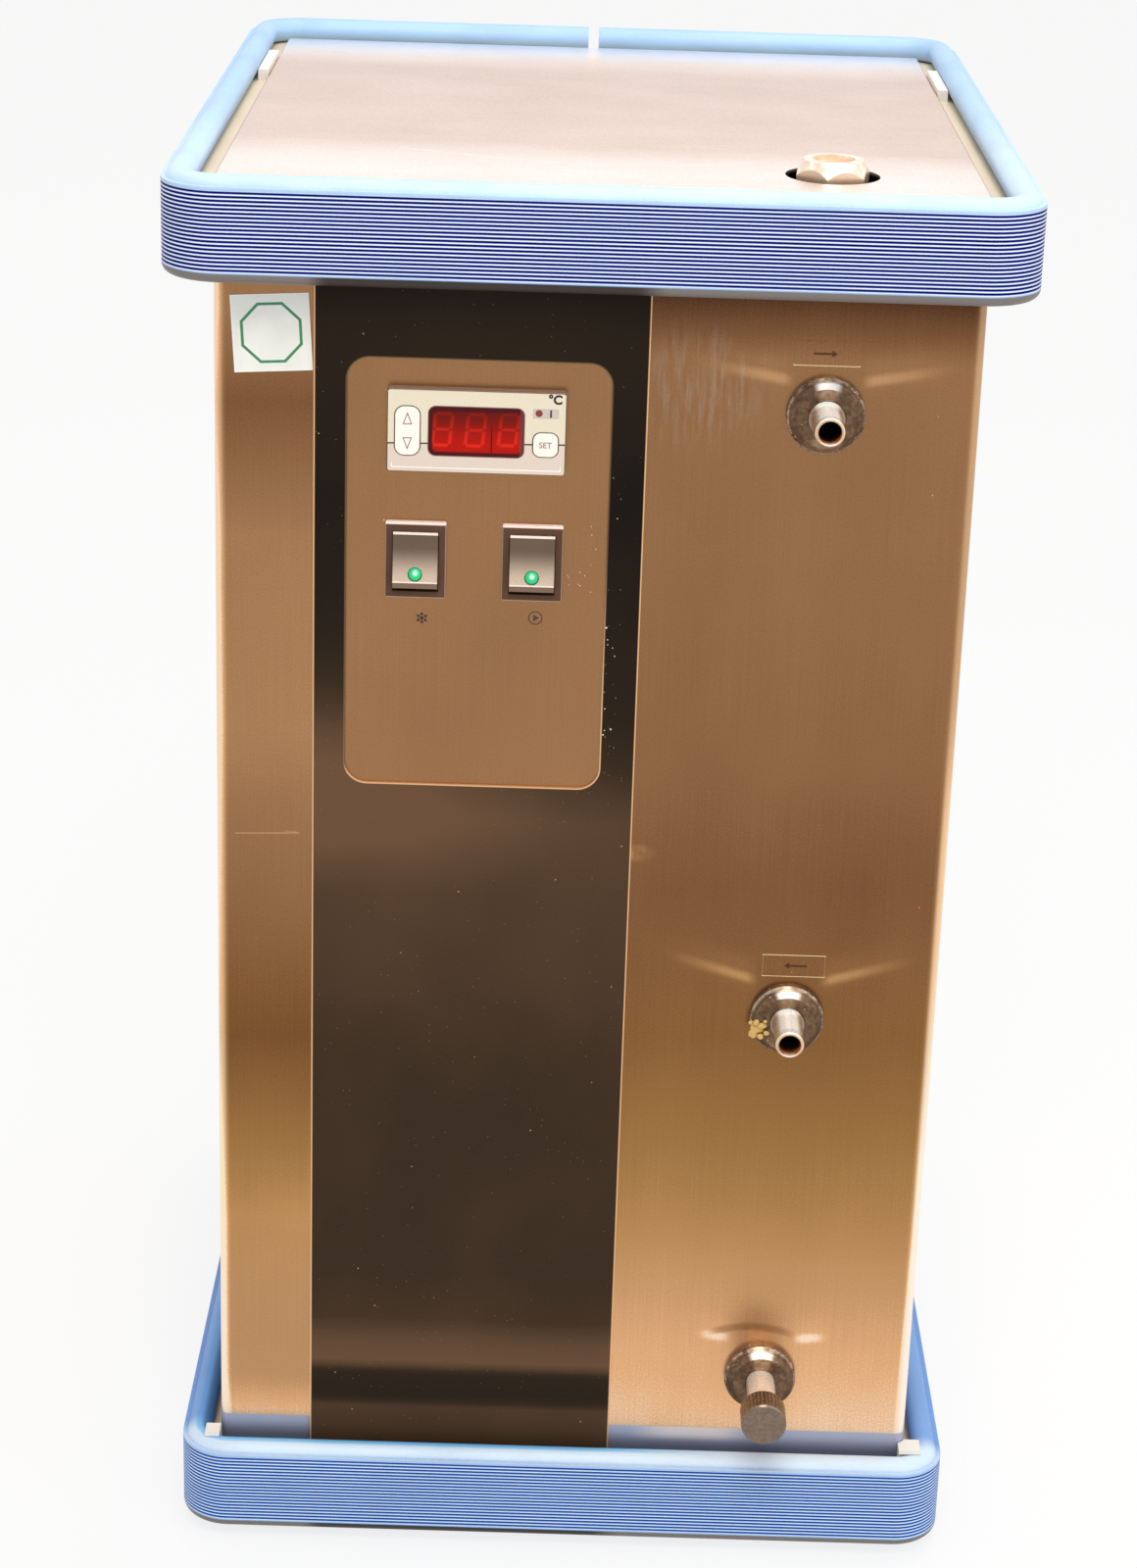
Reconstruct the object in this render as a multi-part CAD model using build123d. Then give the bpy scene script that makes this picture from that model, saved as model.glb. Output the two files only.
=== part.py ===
"""Recirculating chiller for laboratory cooling water, built piece by piece.

Millimetres. X runs to the right, Y from the front to the back, Z up from the floor.
Every piece is drawn with the front steel sheet at Y = 0, and centred just before it is written.
"""
import math
import os

from build123d import *

# Overall casing
body_width = 330.0
body_depth = 410.0
body_height = 635.5
sheet = 1.2
bend_radius = 4.5
fit_gap = 0.3
rest_gap = 0.3
press_gap = 0.1
running_gap = 0.05
floor_clearance = 12.0
flange_width = 15.0
screw_radius = 2.0
screw_hole_gap = 0.15
screw_head_radius = 4.0
screw_head_height = 2.2
screw_length = 8.0
overrun = 1.0
bend_share = 0.45

# Base tray, studs and feet
tray_thickness = 1.5
tray_flange_height = 22.0
stud_radius = 3.0
foot_radius = 16.0
foot_draft = 3.0
foot_inset_x = 32.0
foot_inset_y = 42.0
foot_recess_radius = 5.5
foot_recess_depth = 5.0

# Lid and its filler hole
lid_thickness = 1.5
lid_overhang = 2.5
lid_skirt = 1.85
lid_corner_radius = 2.0
lid_edge_radius = 1.0
filler_from_right = 64.0
filler_y = 72.0
lid_hole_radius = 21.0

# Bumper extrusion, measured inwards from its outer face
bumper_tube_radius = 6.05
bumper_tube_wall = 2.0
bumper_tube_inset = 7.75
bumper_band_thickness = 2.6
bumper_bead_rise = 1.8
bumper_first_groove = 0.4
bumper_band_drop = 34.4
bumper_lip_drop = 39.0
bumper_lip_thickness = 2.2
bumper_lip_reach = 15.5
bumper_lip_radius = 4.2
bumper_ledge_reach = 2.6
bumper_ledge_thickness = 1.6
groove_count = 20
groove_pitch = 1.72
groove_width = 0.9
groove_depth = 0.8
bumper_joint_gap = 5.5
bumper_joint_x = -5.0
top_bumper_stand_off = 22.0
bottom_bumper_stand_off = 18.5
bottom_tube_height = 45.0

# Rails that carry the bumpers
rail_thickness = 1.5
rail_leg_height = 22.0
bottom_rail_leg_height = 19.0
rail_lift = 0.65
rail_screw_rise = 8.0
rail_screw_inset_x = 25.0
rail_screw_inset_y = 60.0
clip_length = 62.0
clip_height = 5.6
clip_from_back = 53.0
corner_block_out = 7.5
corner_block_in = 3.0
corner_block_hook = 2.0
cut_block_side = (-0.3, 6.6)
cut_block_front = (1.0, 9.8)

# Black fascia and its window
fascia_from_left = 43.2
fascia_width = 143.9
fascia_thickness = 1.5
window_from_fascia = 14.3
window_width = 113.9
window_below_top = 66.1
window_height = 194.6
window_radius = 10.0

# Controller
controller_from_window = 56.1
controller_below_top = 96.7
cutout_width = 71.0
cutout_height = 29.0
bezel_width = 77.0
bezel_height = 36.5
bezel_depth = 5.2
bezel_radius = 1.2
face_thickness = 0.8
face_margin = 0.4
housing_depth = 60.0
display_offset_x = -0.1
display_offset_z = 0.2
display_width = 40.8
display_height = 21.4
display_radius = 3.0
display_depth = 1.6
key_proud = 0.5
key_depth = 2.5
key_pocket_floor = 0.7
level_key_offset_x = -29.7
level_key_offset_z = 0.0
level_key_width = 10.6
level_key_height = 21.4
level_key_radius = 4.0
level_key_ridge = 0.7
set_key_offset_x = 29.8
set_key_offset_z = -4.6
set_key_width = 10.6
set_key_height = 10.4
set_key_radius = 3.2
set_key_travel = 0.5

# Rocker switches
switch_below_top = 155.8
cooling_switch_from_window = 30.5
pump_switch_from_window = 81.5
switch_frame_width = 26.5
switch_frame_height = 34.5
switch_frame_depth = 2.5
switch_frame_radius = 0.8
switch_cutout_width = 22.0
switch_cutout_height = 30.0
switch_body_depth = 24.0
switch_cavity_depth = 10.0
rocker_width = 19.7
rocker_height = 25.0
rocker_swing_room = 1.2
rocker_drop = 0.7
rocker_top_bevel = 0.8
rocker_lip_depth = 1.8
rocker_lip_height = 2.6
rocker_neck_width = 17.0
rocker_neck_height = 12.0
rocker_neck_depth = 6.5
rocker_front = 6.0
rocker_back = 1.9
rocker_hollow_radius = 70.0
rocker_tilt = 7.0
pivot_depth = 4.0
pivot_radius = 1.25
pivot_end_room = 1.0
lens_radius = 3.1
lens_drop = 6.1
lens_depth = 2.6
lens_dome = 1.6

# Ports on the front
inlet_from_right = 66.5
inlet_below_top = 85.5
outlet_from_right = 68.5
outlet_below_shelf = 43.0
drain_from_right = 71.5
drain_z = 88.6
port_flange_radius = 17.0
port_flange_depth = 8.0
port_flange_step = 1.6
port_flange_step_depth = 3.2
port_flange_chamfer = 2.4
port_thread_radius = 7.9
port_thread_reach = 12.0
port_tail_radius = 7.0
port_tail_reach = 24.0
port_bore_radius = 5.0
nipple_reach = 31.0
nipple_core_radius = 5.8
nipple_end_radius = 6.4
nipple_barb_radius = 6.7
nipple_barb_pitch = 5.0
nipple_barb_count = 3
nipple_end_length = 6.0
nipple_ease = 0.8
lock_nut_flats = 24.0
lock_nut_depth = 6.0

# Drain plug
drain_knob_radius = 10.6
drain_knob_depth = 14.0
drain_knob_reach = 46.0
drain_knob_chamfer = 0.8
drain_knurl_count = 36
drain_knurl_depth = 0.5
drain_neck_radius = 6.9
drain_seat_depth = 5.0
drain_seal_thickness = 1.5
drain_seal_hole = 2.5

# Sticker on the front
sticker_size = 33.7
sticker_thickness = 0.2
sticker_from_left = 25.0
sticker_below_top = 57.1
sticker_turn = 3.4

# Shelf, tank and filler
shelf_height = 320.0
shelf_thickness = 2.0
shelf_flange = 20.0
shelf_rear_room = 60.0
tank_side_room = 8.8
tank_width = 140.0
tank_front = 46.0
tank_rear_room = 64.0
tank_head_room = 47.5
tank_wall = 1.5
cover_thickness = 2.0
neck_radius = 15.5
neck_bore_radius = 12.5
neck_height = 43.0
cap_seal_thickness = 2.0
cap_head_height = 12.0
cap_flats = 30.0
cap_top_radius = 13.0
cap_slope = 1.5
cap_turn = 18.5
cap_recess_radius = 9.5
cap_recess_depth = 2.6
cap_stem_length = 13.0
cap_stem_wall = 2.5
nozzle_length = 22.0
suction_nozzle_inset_x = 50.0
suction_nozzle_inset_y = 66.0
drain_nozzle_inset_x = 45.0
drain_nozzle_inset_y = 30.0
probe_inset_x = 25.0
probe_inset_y = 64.0
probe_radius = 3.0
probe_floor_room = 90.0
probe_head_radius = 7.0
probe_head_height = 10.0

# Evaporator inside the tank
coil_tube_radius = 4.76
coil_tube_bore = 3.9
evaporator_inset_x = 42.0
evaporator_front_room = 38.0
evaporator_back_room = 50.0
evaporator_riser_room = 20.0
evaporator_floor_room = 30.0
evaporator_top_room = 58.0
evaporator_bend_ease = 0.2
evaporator_runs = 7
coil_stub = 12.0

# Hoses
hose_bore = 7.15
hose_wall = 2.5
hose_grip = 16.0
clamp_width = 7.0
clamp_thickness = 0.9
clamp_gap = 0.15
clamp_set_back = 5.0
clamp_end_room = 1.0
supply_lead = 24.0
supply_from_right = 27.0
supply_riser_y = 58.0
supply_rise = 56.0
supply_drop = 55.0
supply_turn_y = 66.0
drain_drop = 86.4
drain_knee_y = 72.0
drain_knee_rise = 23.4
drain_turn_y = 58.0

# Circulation pump
pump_from_right = 60.0
pump_y = 165.0
pump_port_z = 62.0
pump_radius = 38.0
pump_cavity_radius = 30.0
pump_cavity_height = 22.0
pump_wall = 6.0
pump_port_reach = 60.0
pump_foot_size = 56.0
impeller_radius = 26.0
impeller_disc = 2.5
impeller_hub_radius = 8.0
impeller_vanes = 6
impeller_vane_thickness = 2.0
impeller_gap = 2.0
shaft_radius = 4.0
shaft_socket = 16.0
motor_radius = 40.0
motor_height = 92.0
motor_rib_count = 24
motor_rib_depth = 2.0

# Compressor
compressor_side_room = 13.0
compressor_middle_room = 4.0
compressor_y = 150.0
compressor_height = 178.0
compressor_dome = 46.0
compressor_plate = 3.0
compressor_plate_overhang = 8.0
compressor_plate_depth = 110.0
grommet_radius = 9.0
grommet_height = 16.0
grommet_inset = 1.0
grommet_span_y = 84.0
terminal_box_width = 46.0
terminal_box_height = 60.0
terminal_box_depth = 14.0
discharge_stub_offset = 32.0
discharge_stub_z = 120.0
suction_stub_offset = 42.0
stub_radius = 6.0
stub_reach = 18.0

# Condenser, shroud and fan
shroud_from_left = 33.0
shroud_from_right = 103.0
shroud_depth = 64.0
shroud_rear_room = 6.0
shroud_head_room = 12.5
shroud_sheet = 1.2
condenser_from_back = 22.0
condenser_floor_room = 48.5
condenser_top_room = 45.5
condenser_bend_ease = 0.2
condenser_runs = 6
condenser_bend_reach = 18.5
condenser_tail = 38.0
condenser_tail_radius = 12.0
fin_count = 16
fin_thickness = 0.8
fin_depth = 28.0
fan_margin = 17.0
fan_ring_gap = 4.0
fan_ring_depth = 18.0
fan_blade_count = 5
fan_blade_thickness = 1.8
fan_blade_width = 44.0
fan_blade_pitch = 20.0
fan_hub_radius = 24.0
fan_hub_depth = 14.0
fan_shaft_radius = 3.0
fan_shaft_socket = 14.0
fan_motor_radius = 32.0
fan_motor_depth = 46.0
fan_motor_gap = 6.0
fan_arm_count = 3
fan_arm_width = 14.0
fan_arm_thickness = 4.0

# Refrigerant lines
discharge_radius = 4.0
discharge_bore = 3.0
liquid_radius = 3.0
liquid_bore = 2.0
suction_radius = 4.76
suction_bore = 3.9
line_hole_gap = 3.0
drier_radius = 10.0
drier_from_left = 17.0
drier_from_back = 148.0
drier_rise = 30.0
drier_neck = 1.0
liquid_bend = 13.0
drier_length = 84.0
line_below_top = 19.5
line_bend_ease = 1.0
discharge_run = 30.0
discharge_cross = 56.0
discharge_lead = 28.0

# Rear panel
vent_length = 48.0
vent_width = 4.0
vent_end_share = 0.49
vent_pitch_x = 60.0
vent_pitch_z = 11.0
low_vent_columns = 3
low_vent_rows = 20
low_vent_z = 50.0
high_vent_columns = 2
high_vent_rows = 9
high_vent_from_right = 115.0
high_vent_below_top = 147.5
socket_from_left = 50.0
socket_below_top = 107.5
socket_flange_width = 48.0
socket_flange_height = 27.0
socket_flange_depth = 2.5
socket_body_width = 28.0
socket_body_height = 21.0
socket_body_radius = 1.0
socket_recess_width = 24.5
socket_recess_height = 17.0
socket_recess_depth = 18.0
socket_wall = 3.0
socket_pin_length = 13.0
socket_pin_width = 2.0
socket_pin_height = 4.0
socket_pin_spread = 7.0
socket_pin_rise = 2.0
panel_screw_shares = (0.1, 0.36, 0.64, 0.917)

# Levels and places that follow from the sizes above
half_width = body_width / 2
inner_half = half_width - sheet
base_z = floor_clearance
tray_floor = base_z + tray_thickness
casing_top = base_z + body_height
filler_x = half_width - filler_from_right
fascia_left = -half_width + fascia_from_left
window_left = fascia_left + window_from_fascia
window_bottom = casing_top - window_below_top - window_height
controller_x = window_left + controller_from_window
controller_z = casing_top - controller_below_top
cooling_switch_x = window_left + cooling_switch_from_window
pump_switch_x = window_left + pump_switch_from_window
switch_z = casing_top - switch_below_top
rocker_z = switch_z - rocker_drop
inlet_x = half_width - inlet_from_right
inlet_z = casing_top - inlet_below_top
outlet_x = half_width - outlet_from_right
outlet_z = shelf_height - outlet_below_shelf
drain_x = half_width - drain_from_right
sticker_x = -half_width + sticker_from_left
sticker_z = casing_top - sticker_below_top
socket_x = -half_width + socket_from_left
socket_z = casing_top - socket_below_top
rail_top = casing_top + rail_lift
lid_top = rail_top + lid_skirt + lid_thickness
top_tube_height = rail_top + rest_gap + bumper_tube_radius
top_rail_bottom = rail_top - rail_leg_height
bottom_rail_top = bottom_tube_height - bumper_tube_radius - rest_gap
bottom_rail_bottom = bottom_rail_top - bottom_rail_leg_height
fascia_bottom = bottom_rail_top + fit_gap
fascia_top = top_rail_bottom - fit_gap
shelf_back = body_depth - shelf_rear_room
tank_bottom = shelf_height
tank_top = casing_top - tank_head_room
tank_height = tank_top - tank_bottom
tank_right = inner_half - tank_side_room
tank_left = tank_right - tank_width
tank_back = body_depth - tank_rear_room
suction_nozzle_x = tank_right - suction_nozzle_inset_x
suction_nozzle_y = tank_back - suction_nozzle_inset_y
drain_nozzle_x = tank_left + drain_nozzle_inset_x
drain_nozzle_y = tank_front + drain_nozzle_inset_y
probe_x = tank_left + probe_inset_x
probe_y = tank_front + probe_inset_y
evaporator_x = tank_left + evaporator_inset_x
evaporator_near = tank_front + evaporator_front_room
evaporator_far = tank_back - evaporator_back_room
evaporator_riser_y = tank_back - evaporator_riser_room
evaporator_bottom = tank_bottom + evaporator_floor_room
evaporator_pitch = (tank_height - evaporator_floor_room - evaporator_top_room) / (evaporator_runs - 1)
cover_top = tank_top + cover_thickness
neck_top = cover_top + neck_height
cap_head_bottom = neck_top + cap_seal_thickness
cap_top = cap_head_bottom + cap_head_height
hose_radius = hose_bore + hose_wall
pump_x = half_width - pump_from_right
grommet_top = tray_floor + grommet_height
compressor_base = grommet_top + compressor_plate
compressor_radius = (half_width - compressor_side_room - compressor_middle_room) / 2
compressor_x = -half_width + compressor_side_room + compressor_radius
grommet_span_x = 2 * (compressor_radius - grommet_inset)
discharge_stub_x = compressor_x - discharge_stub_offset
suction_stub_x = compressor_x - suction_stub_offset
shroud_left = -half_width + shroud_from_left
shroud_width = body_width - shroud_from_left - shroud_from_right
shroud_back = body_depth - shroud_rear_room
shroud_front = shroud_back - shroud_depth
shroud_height = shelf_height - shelf_flange - shroud_head_room - tray_floor
condenser_y = body_depth - condenser_from_back
condenser_low = tray_floor + condenser_floor_room
condenser_pitch = (shroud_height - condenser_floor_room - condenser_top_room) / (condenser_runs - 1)
fan_arm_reach = min(shroud_width, shroud_height) / 2
fan_radius = fan_arm_reach - fan_margin
drier_x = -half_width + drier_from_left
drier_y = body_depth - drier_from_back
drier_bottom = condenser_low + drier_rise
line_top = casing_top - line_below_top
fan_x = shroud_left + shroud_width / 2
fan_z = tray_floor + shroud_height / 2
coil_top = cover_top + coil_stub
seal_face = -port_flange_depth + drain_seat_depth
front_reach = drain_knob_reach
back_reach = body_depth + top_bumper_stand_off
centre_y = (back_reach - front_reach) / 2


def block(x0, x1, y0, y1, z0, z1):
    """Box between two corners."""
    middle = Pos((x0 + x1) / 2, (y0 + y1) / 2, (z0 + z1) / 2)
    return middle * Box(x1 - x0, y1 - y0, z1 - z0)


def rod_x(x0, x1, y, z, radius):
    """Cylinder along X."""
    return Pos((x0 + x1) / 2, y, z) * Rot(0, 90, 0) * Cylinder(radius, x1 - x0)


def rod_y(x, z, y0, y1, radius):
    """Cylinder along Y."""
    return Pos(x, (y0 + y1) / 2, z) * Rot(90, 0, 0) * Cylinder(radius, y1 - y0)


def rod_z(x, y, z0, z1, radius):
    """Cylinder along Z."""
    return Pos(x, y, (z0 + z1) / 2) * Cylinder(radius, z1 - z0)


def plate_y(x, z, width, height, y0, y1, radius):
    """Upright plate with rounded corners, seen as a rectangle from the front."""
    outline = Plane((x, y1, z), x_dir=(1, 0, 0), z_dir=(0, -1, 0)) * RectangleRounded(width, height, radius)
    return extrude(outline, amount=y1 - y0)


def rounded_prism(x0, x1, y0, y1, z0, z1, radius):
    """Upright box with rounded vertical edges."""
    outline = Pos((x0 + x1) / 2, (y0 + y1) / 2, z0) * RectangleRounded(x1 - x0, y1 - y0, radius)
    return extrude(outline, amount=z1 - z0)


def hexagon_y(x, z, y0, y1, flats):
    """Hexagonal prism along Y, by its width across flats."""
    start = Plane((x, y1, z), x_dir=(1, 0, 0), z_dir=(0, -1, 0))
    outline = start * RegularPolygon(flats / 2, 6, major_radius=False)
    return extrude(outline, amount=y1 - y0)


def bend_radii(points):
    """Largest smooth bend at each inner point of a route."""
    vectors = [Vector(*p) for p in points]
    radii = []
    for before, here, after in zip(vectors, vectors[1:], vectors[2:]):
        turn = math.radians((here - before).get_angle(after - here))
        shorter = min((here - before).length, (after - here).length)
        radii.append(bend_share * shorter / math.tan(turn / 2))
    return radii


def pipe(points, outer, bore, radii=None):
    """Hollow tube that follows a route of straight runs and tangent arcs."""
    route = FilletPolyline(*points, radius=radii or bend_radii(points))
    start = Plane(origin=route @ 0, z_dir=route % 0)
    ring = start * (Circle(outer) - Circle(bore))
    return sweep(ring, path=route)


def ring_z(x, y, z0, z1, outer, bore):
    """Upright ring."""
    return rod_z(x, y, z0, z1, outer) - rod_z(x, y, z0 - overrun, z1 + overrun, bore)


def ring_y(x, z, y0, y1, outer, bore):
    """Ring along Y."""
    return rod_y(x, z, y0, y1, outer) - rod_y(x, z, y0 - overrun, y1 + overrun, bore)


def turned_y(x, z, outline):
    """Piece turned about an axis along Y, from (radius, y) points."""
    points = [(x + radius, y, z) for radius, y in outline]
    face = make_face(Polyline(*points, close=True))
    return revolve(face, axis=Axis((x, 0, z), (0, 1, 0)))


def turned_z(x, y, outline):
    """Piece turned about an upright axis, from (radius, z) points."""
    points = [(x + radius, y, z) for radius, z in outline]
    face = make_face(Polyline(*points, close=True))
    return revolve(face, axis=Axis((x, y, 0), (0, 0, 1)))


def side_screw_places():
    """Points on the two side walls where rail screws sit, as (x sign, y)."""
    rows = (rail_screw_inset_y, body_depth / 2, body_depth - rail_screw_inset_y)
    return [(sign, y) for sign in (-1, 1) for y in rows]


def front_screw_places():
    """X places of the rail screws on the front wall."""
    return (-half_width + rail_screw_inset_x, half_width - rail_screw_inset_x)


def rail_screw_heights():
    """Levels of the two rows of rail screws."""
    return (bottom_rail_bottom + rail_screw_rise, top_rail_bottom + rail_screw_rise)


def foot_places():
    """Centres of the four feet."""
    xs = (-half_width + foot_inset_x, half_width - foot_inset_x)
    ys = (foot_inset_y, body_depth - foot_inset_y)
    return [(x, y) for x in xs for y in ys]


def grommet_places():
    """Centres of the compressor's four mounts."""
    return [
        (compressor_x + sx * grommet_span_x / 2, compressor_y + sy * grommet_span_y / 2)
        for sx in (-1, 1)
        for sy in (-1, 1)
    ]


def panel_screw_places():
    """Places of the rear panel's screws, as (x, z)."""
    reach = half_width - sheet - flange_width / 2
    return [(sign * reach, base_z + share * body_height) for sign in (-1, 1) for share in panel_screw_shares]


def screw_hole():
    """Radius of a clearance hole for a casing screw."""
    return screw_radius + screw_hole_gap


def wall_holes():
    """Holes for the rail screws through the walls all round."""
    hole = screw_hole()
    cuts = []
    for z in rail_screw_heights():
        for sign, y in side_screw_places():
            near, far = sorted((sign * (half_width - screw_length), sign * (half_width + screw_length)))
            cuts.append(rod_x(near, far, y, z, hole))
        for x in front_screw_places():
            cuts.append(rod_y(x, z, -screw_length, screw_length, hole))
            cuts.append(rod_y(x, z, body_depth - screw_length, body_depth + screw_length, hole))
    return cuts


def base_tray():
    """Folded steel tray with four studs for the compressor."""
    reach = inner_half - fit_gap
    front = sheet + fit_gap
    back = body_depth - 2 * sheet - fit_gap
    corner = bend_radius - sheet
    outer = rounded_prism(-reach, reach, front, back, base_z, base_z + tray_flange_height, corner)
    inside = rounded_prism(
        -reach + tray_thickness, reach - tray_thickness, front + tray_thickness, back - tray_thickness,
        tray_floor, base_z + tray_flange_height + overrun, corner - tray_thickness)
    tray = outer - inside
    for x, y in grommet_places():
        tray += rod_z(x, y, tray_floor, compressor_base + stud_radius, stud_radius)
    for x, y in foot_places():
        tray -= rod_z(x, y, base_z - overrun, tray_floor + overrun, screw_hole())
    for cut in wall_holes():
        tray -= cut
    return tray


def rubber_feet():
    """Four round feet with a recess for the screw head."""
    feet = []
    for x, y in foot_places():
        foot = turned_z(x, y, [
            (0, 0), (foot_radius - foot_draft, 0), (foot_radius, foot_draft), (foot_radius, floor_clearance),
            (0, floor_clearance)])
        foot -= rod_z(x, y, -overrun, foot_recess_depth, foot_recess_radius)
        foot -= rod_z(x, y, 0, floor_clearance + overrun, screw_hole())
        feet.append(foot)
    return feet


def casing_shell():
    """Stainless sheet folded round the front and both sides, with inward flanges at the top and back."""
    back = body_depth - sheet
    outer = rounded_prism(-half_width, half_width, 0, back, base_z, casing_top, bend_radius)
    inside = rounded_prism(
        -inner_half, inner_half, sheet, back - sheet, base_z - overrun, casing_top - sheet, bend_radius - sheet)
    shell = outer - inside
    reach = inner_half - flange_width
    shell -= block(-reach, reach, back - 2 * sheet, back + overrun, base_z - overrun, casing_top + overrun)
    shell -= block(
        -reach, reach, sheet + flange_width, back + overrun, casing_top - 2 * sheet, casing_top + overrun)
    shell -= block(
        controller_x - cutout_width / 2, controller_x + cutout_width / 2, -overrun, sheet + overrun,
        controller_z - cutout_height / 2, controller_z + cutout_height / 2)
    for x in (cooling_switch_x, pump_switch_x):
        shell -= block(
            x - switch_cutout_width / 2, x + switch_cutout_width / 2, -overrun, sheet + overrun,
            switch_z - switch_cutout_height / 2, switch_z + switch_cutout_height / 2)
    for x, z in ports():
        shell -= rod_y(x, z, -overrun, sheet + overrun, port_thread_radius + fit_gap)
    for x, z in panel_screw_places():
        shell -= rod_y(x, z, back - 2 * sheet, back + overrun, screw_hole())
    for cut in wall_holes():
        shell -= cut
    return shell


def ports():
    """Centres of the three ports on the front."""
    return [(inlet_x, inlet_z), (outlet_x, outlet_z), (drain_x, drain_z)]


def fascia_plate():
    """Black plate down the front, with a rounded window over the control area."""
    plate = block(fascia_left, fascia_left + fascia_width, -fascia_thickness, 0, fascia_bottom, fascia_top)
    window = plate_y(
        window_left + window_width / 2, window_bottom + window_height / 2, window_width, window_height,
        -fascia_thickness - overrun, overrun, window_radius)
    return plate - window


def vent_slots(columns, rows, middle_x, low_z, y0, y1):
    """Rows of round-ended slots."""
    slots = []
    for column in range(columns):
        x = middle_x + (column - (columns - 1) / 2) * vent_pitch_x
        for row in range(rows):
            z = low_z + row * vent_pitch_z
            slots.append(plate_y(x, z, vent_length, vent_width, y0, y1, vent_width * vent_end_share))
    return slots


def rear_panel():
    """Flat rear sheet with air slots and the hole for the power socket."""
    reach = half_width - bend_radius - fit_gap
    front = body_depth - sheet
    panel = block(-reach, reach, front, body_depth, base_z, casing_top)
    for slot in vent_slots(
            low_vent_columns, low_vent_rows, fan_x, low_vent_z, front - overrun, body_depth + overrun):
        panel -= slot
    for slot in vent_slots(
            high_vent_columns, high_vent_rows, half_width - high_vent_from_right,
            casing_top - high_vent_below_top, front - overrun, body_depth + overrun):
        panel -= slot
    panel -= block(
        socket_x - socket_body_width / 2 - fit_gap, socket_x + socket_body_width / 2 + fit_gap,
        front - overrun, body_depth + overrun,
        socket_z - socket_body_height / 2 - fit_gap, socket_z + socket_body_height / 2 + fit_gap)
    for x, z in panel_screw_places():
        panel -= rod_y(x, z, front - overrun, body_depth + overrun, screw_hole())
    for cut in wall_holes():
        panel -= cut
    return panel


def pan_screw(direction, x, y, z):
    """Casing screw whose head's underside is at the given point, with the head towards direction."""
    head = rod_z(0, 0, 0, screw_head_height, screw_head_radius)
    head = fillet(head.edges().group_by(Axis.Z)[-1], screw_head_height / 2)
    screw = head + rod_z(0, 0, -screw_length, 0, screw_radius)
    turn = {"up": Rot(0, 0, 0), "down": Rot(180, 0, 0), "front": Rot(90, 0, 0), "back": Rot(-90, 0, 0),
            "left": Rot(0, -90, 0), "right": Rot(0, 90, 0)}[direction]
    return Pos(x, y, z) * turn * screw


def casing_screws():
    """All the pan-head screws of the casing, the rails and the feet."""
    screws = [pan_screw("back", x, body_depth, z) for x, z in panel_screw_places()]
    screws += [pan_screw("down", x, y, foot_recess_depth) for x, y in foot_places()]
    face = half_width + rail_thickness
    for z in rail_screw_heights():
        for sign, y in side_screw_places():
            screws.append(pan_screw("right" if sign > 0 else "left", sign * face, y, z))
        for x in front_screw_places():
            screws.append(pan_screw("front", x, -rail_thickness, z))
            screws.append(pan_screw("back", x, body_depth + rail_thickness, z))
    return screws


def lid():
    """Folded lid with a short skirt, standing on the top rail, with the round filler hole."""
    reach = half_width + lid_overhang
    outer = rounded_prism(
        -reach, reach, -lid_overhang, body_depth + lid_overhang, rail_top, lid_top, lid_corner_radius)
    outer = fillet(outer.edges().group_by(Axis.Z)[-1], lid_edge_radius)
    inside = block(
        -reach + lid_thickness, reach - lid_thickness, -lid_overhang + lid_thickness,
        body_depth + lid_overhang - lid_thickness, rail_top - overrun, lid_top - lid_thickness)
    return outer - inside - rod_z(filler_x, filler_y, rail_top, lid_top + overrun, lid_hole_radius)


def bumper_profile():
    """Section of the bumper: a hollow tube on top of a grooved band with a lip that turns inwards."""
    tube_x = -bumper_tube_inset
    band_in = -bumper_band_thickness
    band_low = -bumper_band_drop
    outline = [(band_in, bumper_bead_rise), (0, bumper_bead_rise)]
    for index in range(groove_count):
        z = -bumper_first_groove - index * groove_pitch
        outline += [(0, z + groove_width / 2), (-groove_depth, z), (0, z - groove_width / 2)]
    outline += [(0, band_low), (band_in, band_low)]
    band = make_face(Polyline(*outline, close=True))
    lip_low = -bumper_lip_drop
    bend = bumper_lip_radius
    lip = make_face(Polyline(
        (0, band_low), (0, lip_low), (-bumper_lip_reach, lip_low),
        (-bumper_lip_reach, lip_low + bumper_lip_thickness),
        (band_in, lip_low + bumper_lip_thickness), (band_in, band_low), close=True))
    lip = fillet(lip.vertices().sort_by(Axis.X)[-2:].sort_by(Axis.Y)[0], bend)
    tube = Pos(tube_x, 0) * Circle(bumper_tube_radius)
    ledge_top = -bumper_tube_radius - 2 * rest_gap - rail_thickness
    ledge = Pos(band_in - bumper_ledge_reach / 2, ledge_top - bumper_ledge_thickness / 2) * Rectangle(
        bumper_ledge_reach + 2 * rest_gap, bumper_ledge_thickness)
    section = band + lip + tube + ledge
    return section - Pos(tube_x, 0) * Circle(bumper_tube_radius - bumper_tube_wall)


def bumper_sweep(stand_off, tube_z, section):
    """Section swept round the casing, from one end at the middle of the back to the other."""
    side = half_width + stand_off
    back = body_depth + stand_off
    start_x = bumper_joint_x + bumper_joint_gap / 2
    end_x = bumper_joint_x - bumper_joint_gap / 2
    route = FilletPolyline(
        (start_x, back, tube_z), (side, back, tube_z), (side, -stand_off, tube_z), (-side, -stand_off, tube_z),
        (-side, back, tube_z), (end_x, back, tube_z), radius=bend_radius + stand_off)
    start = Plane((start_x, back, tube_z), x_dir=(0, 1, 0), z_dir=(1, 0, 0))
    return sweep(start * section, path=route)


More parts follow.
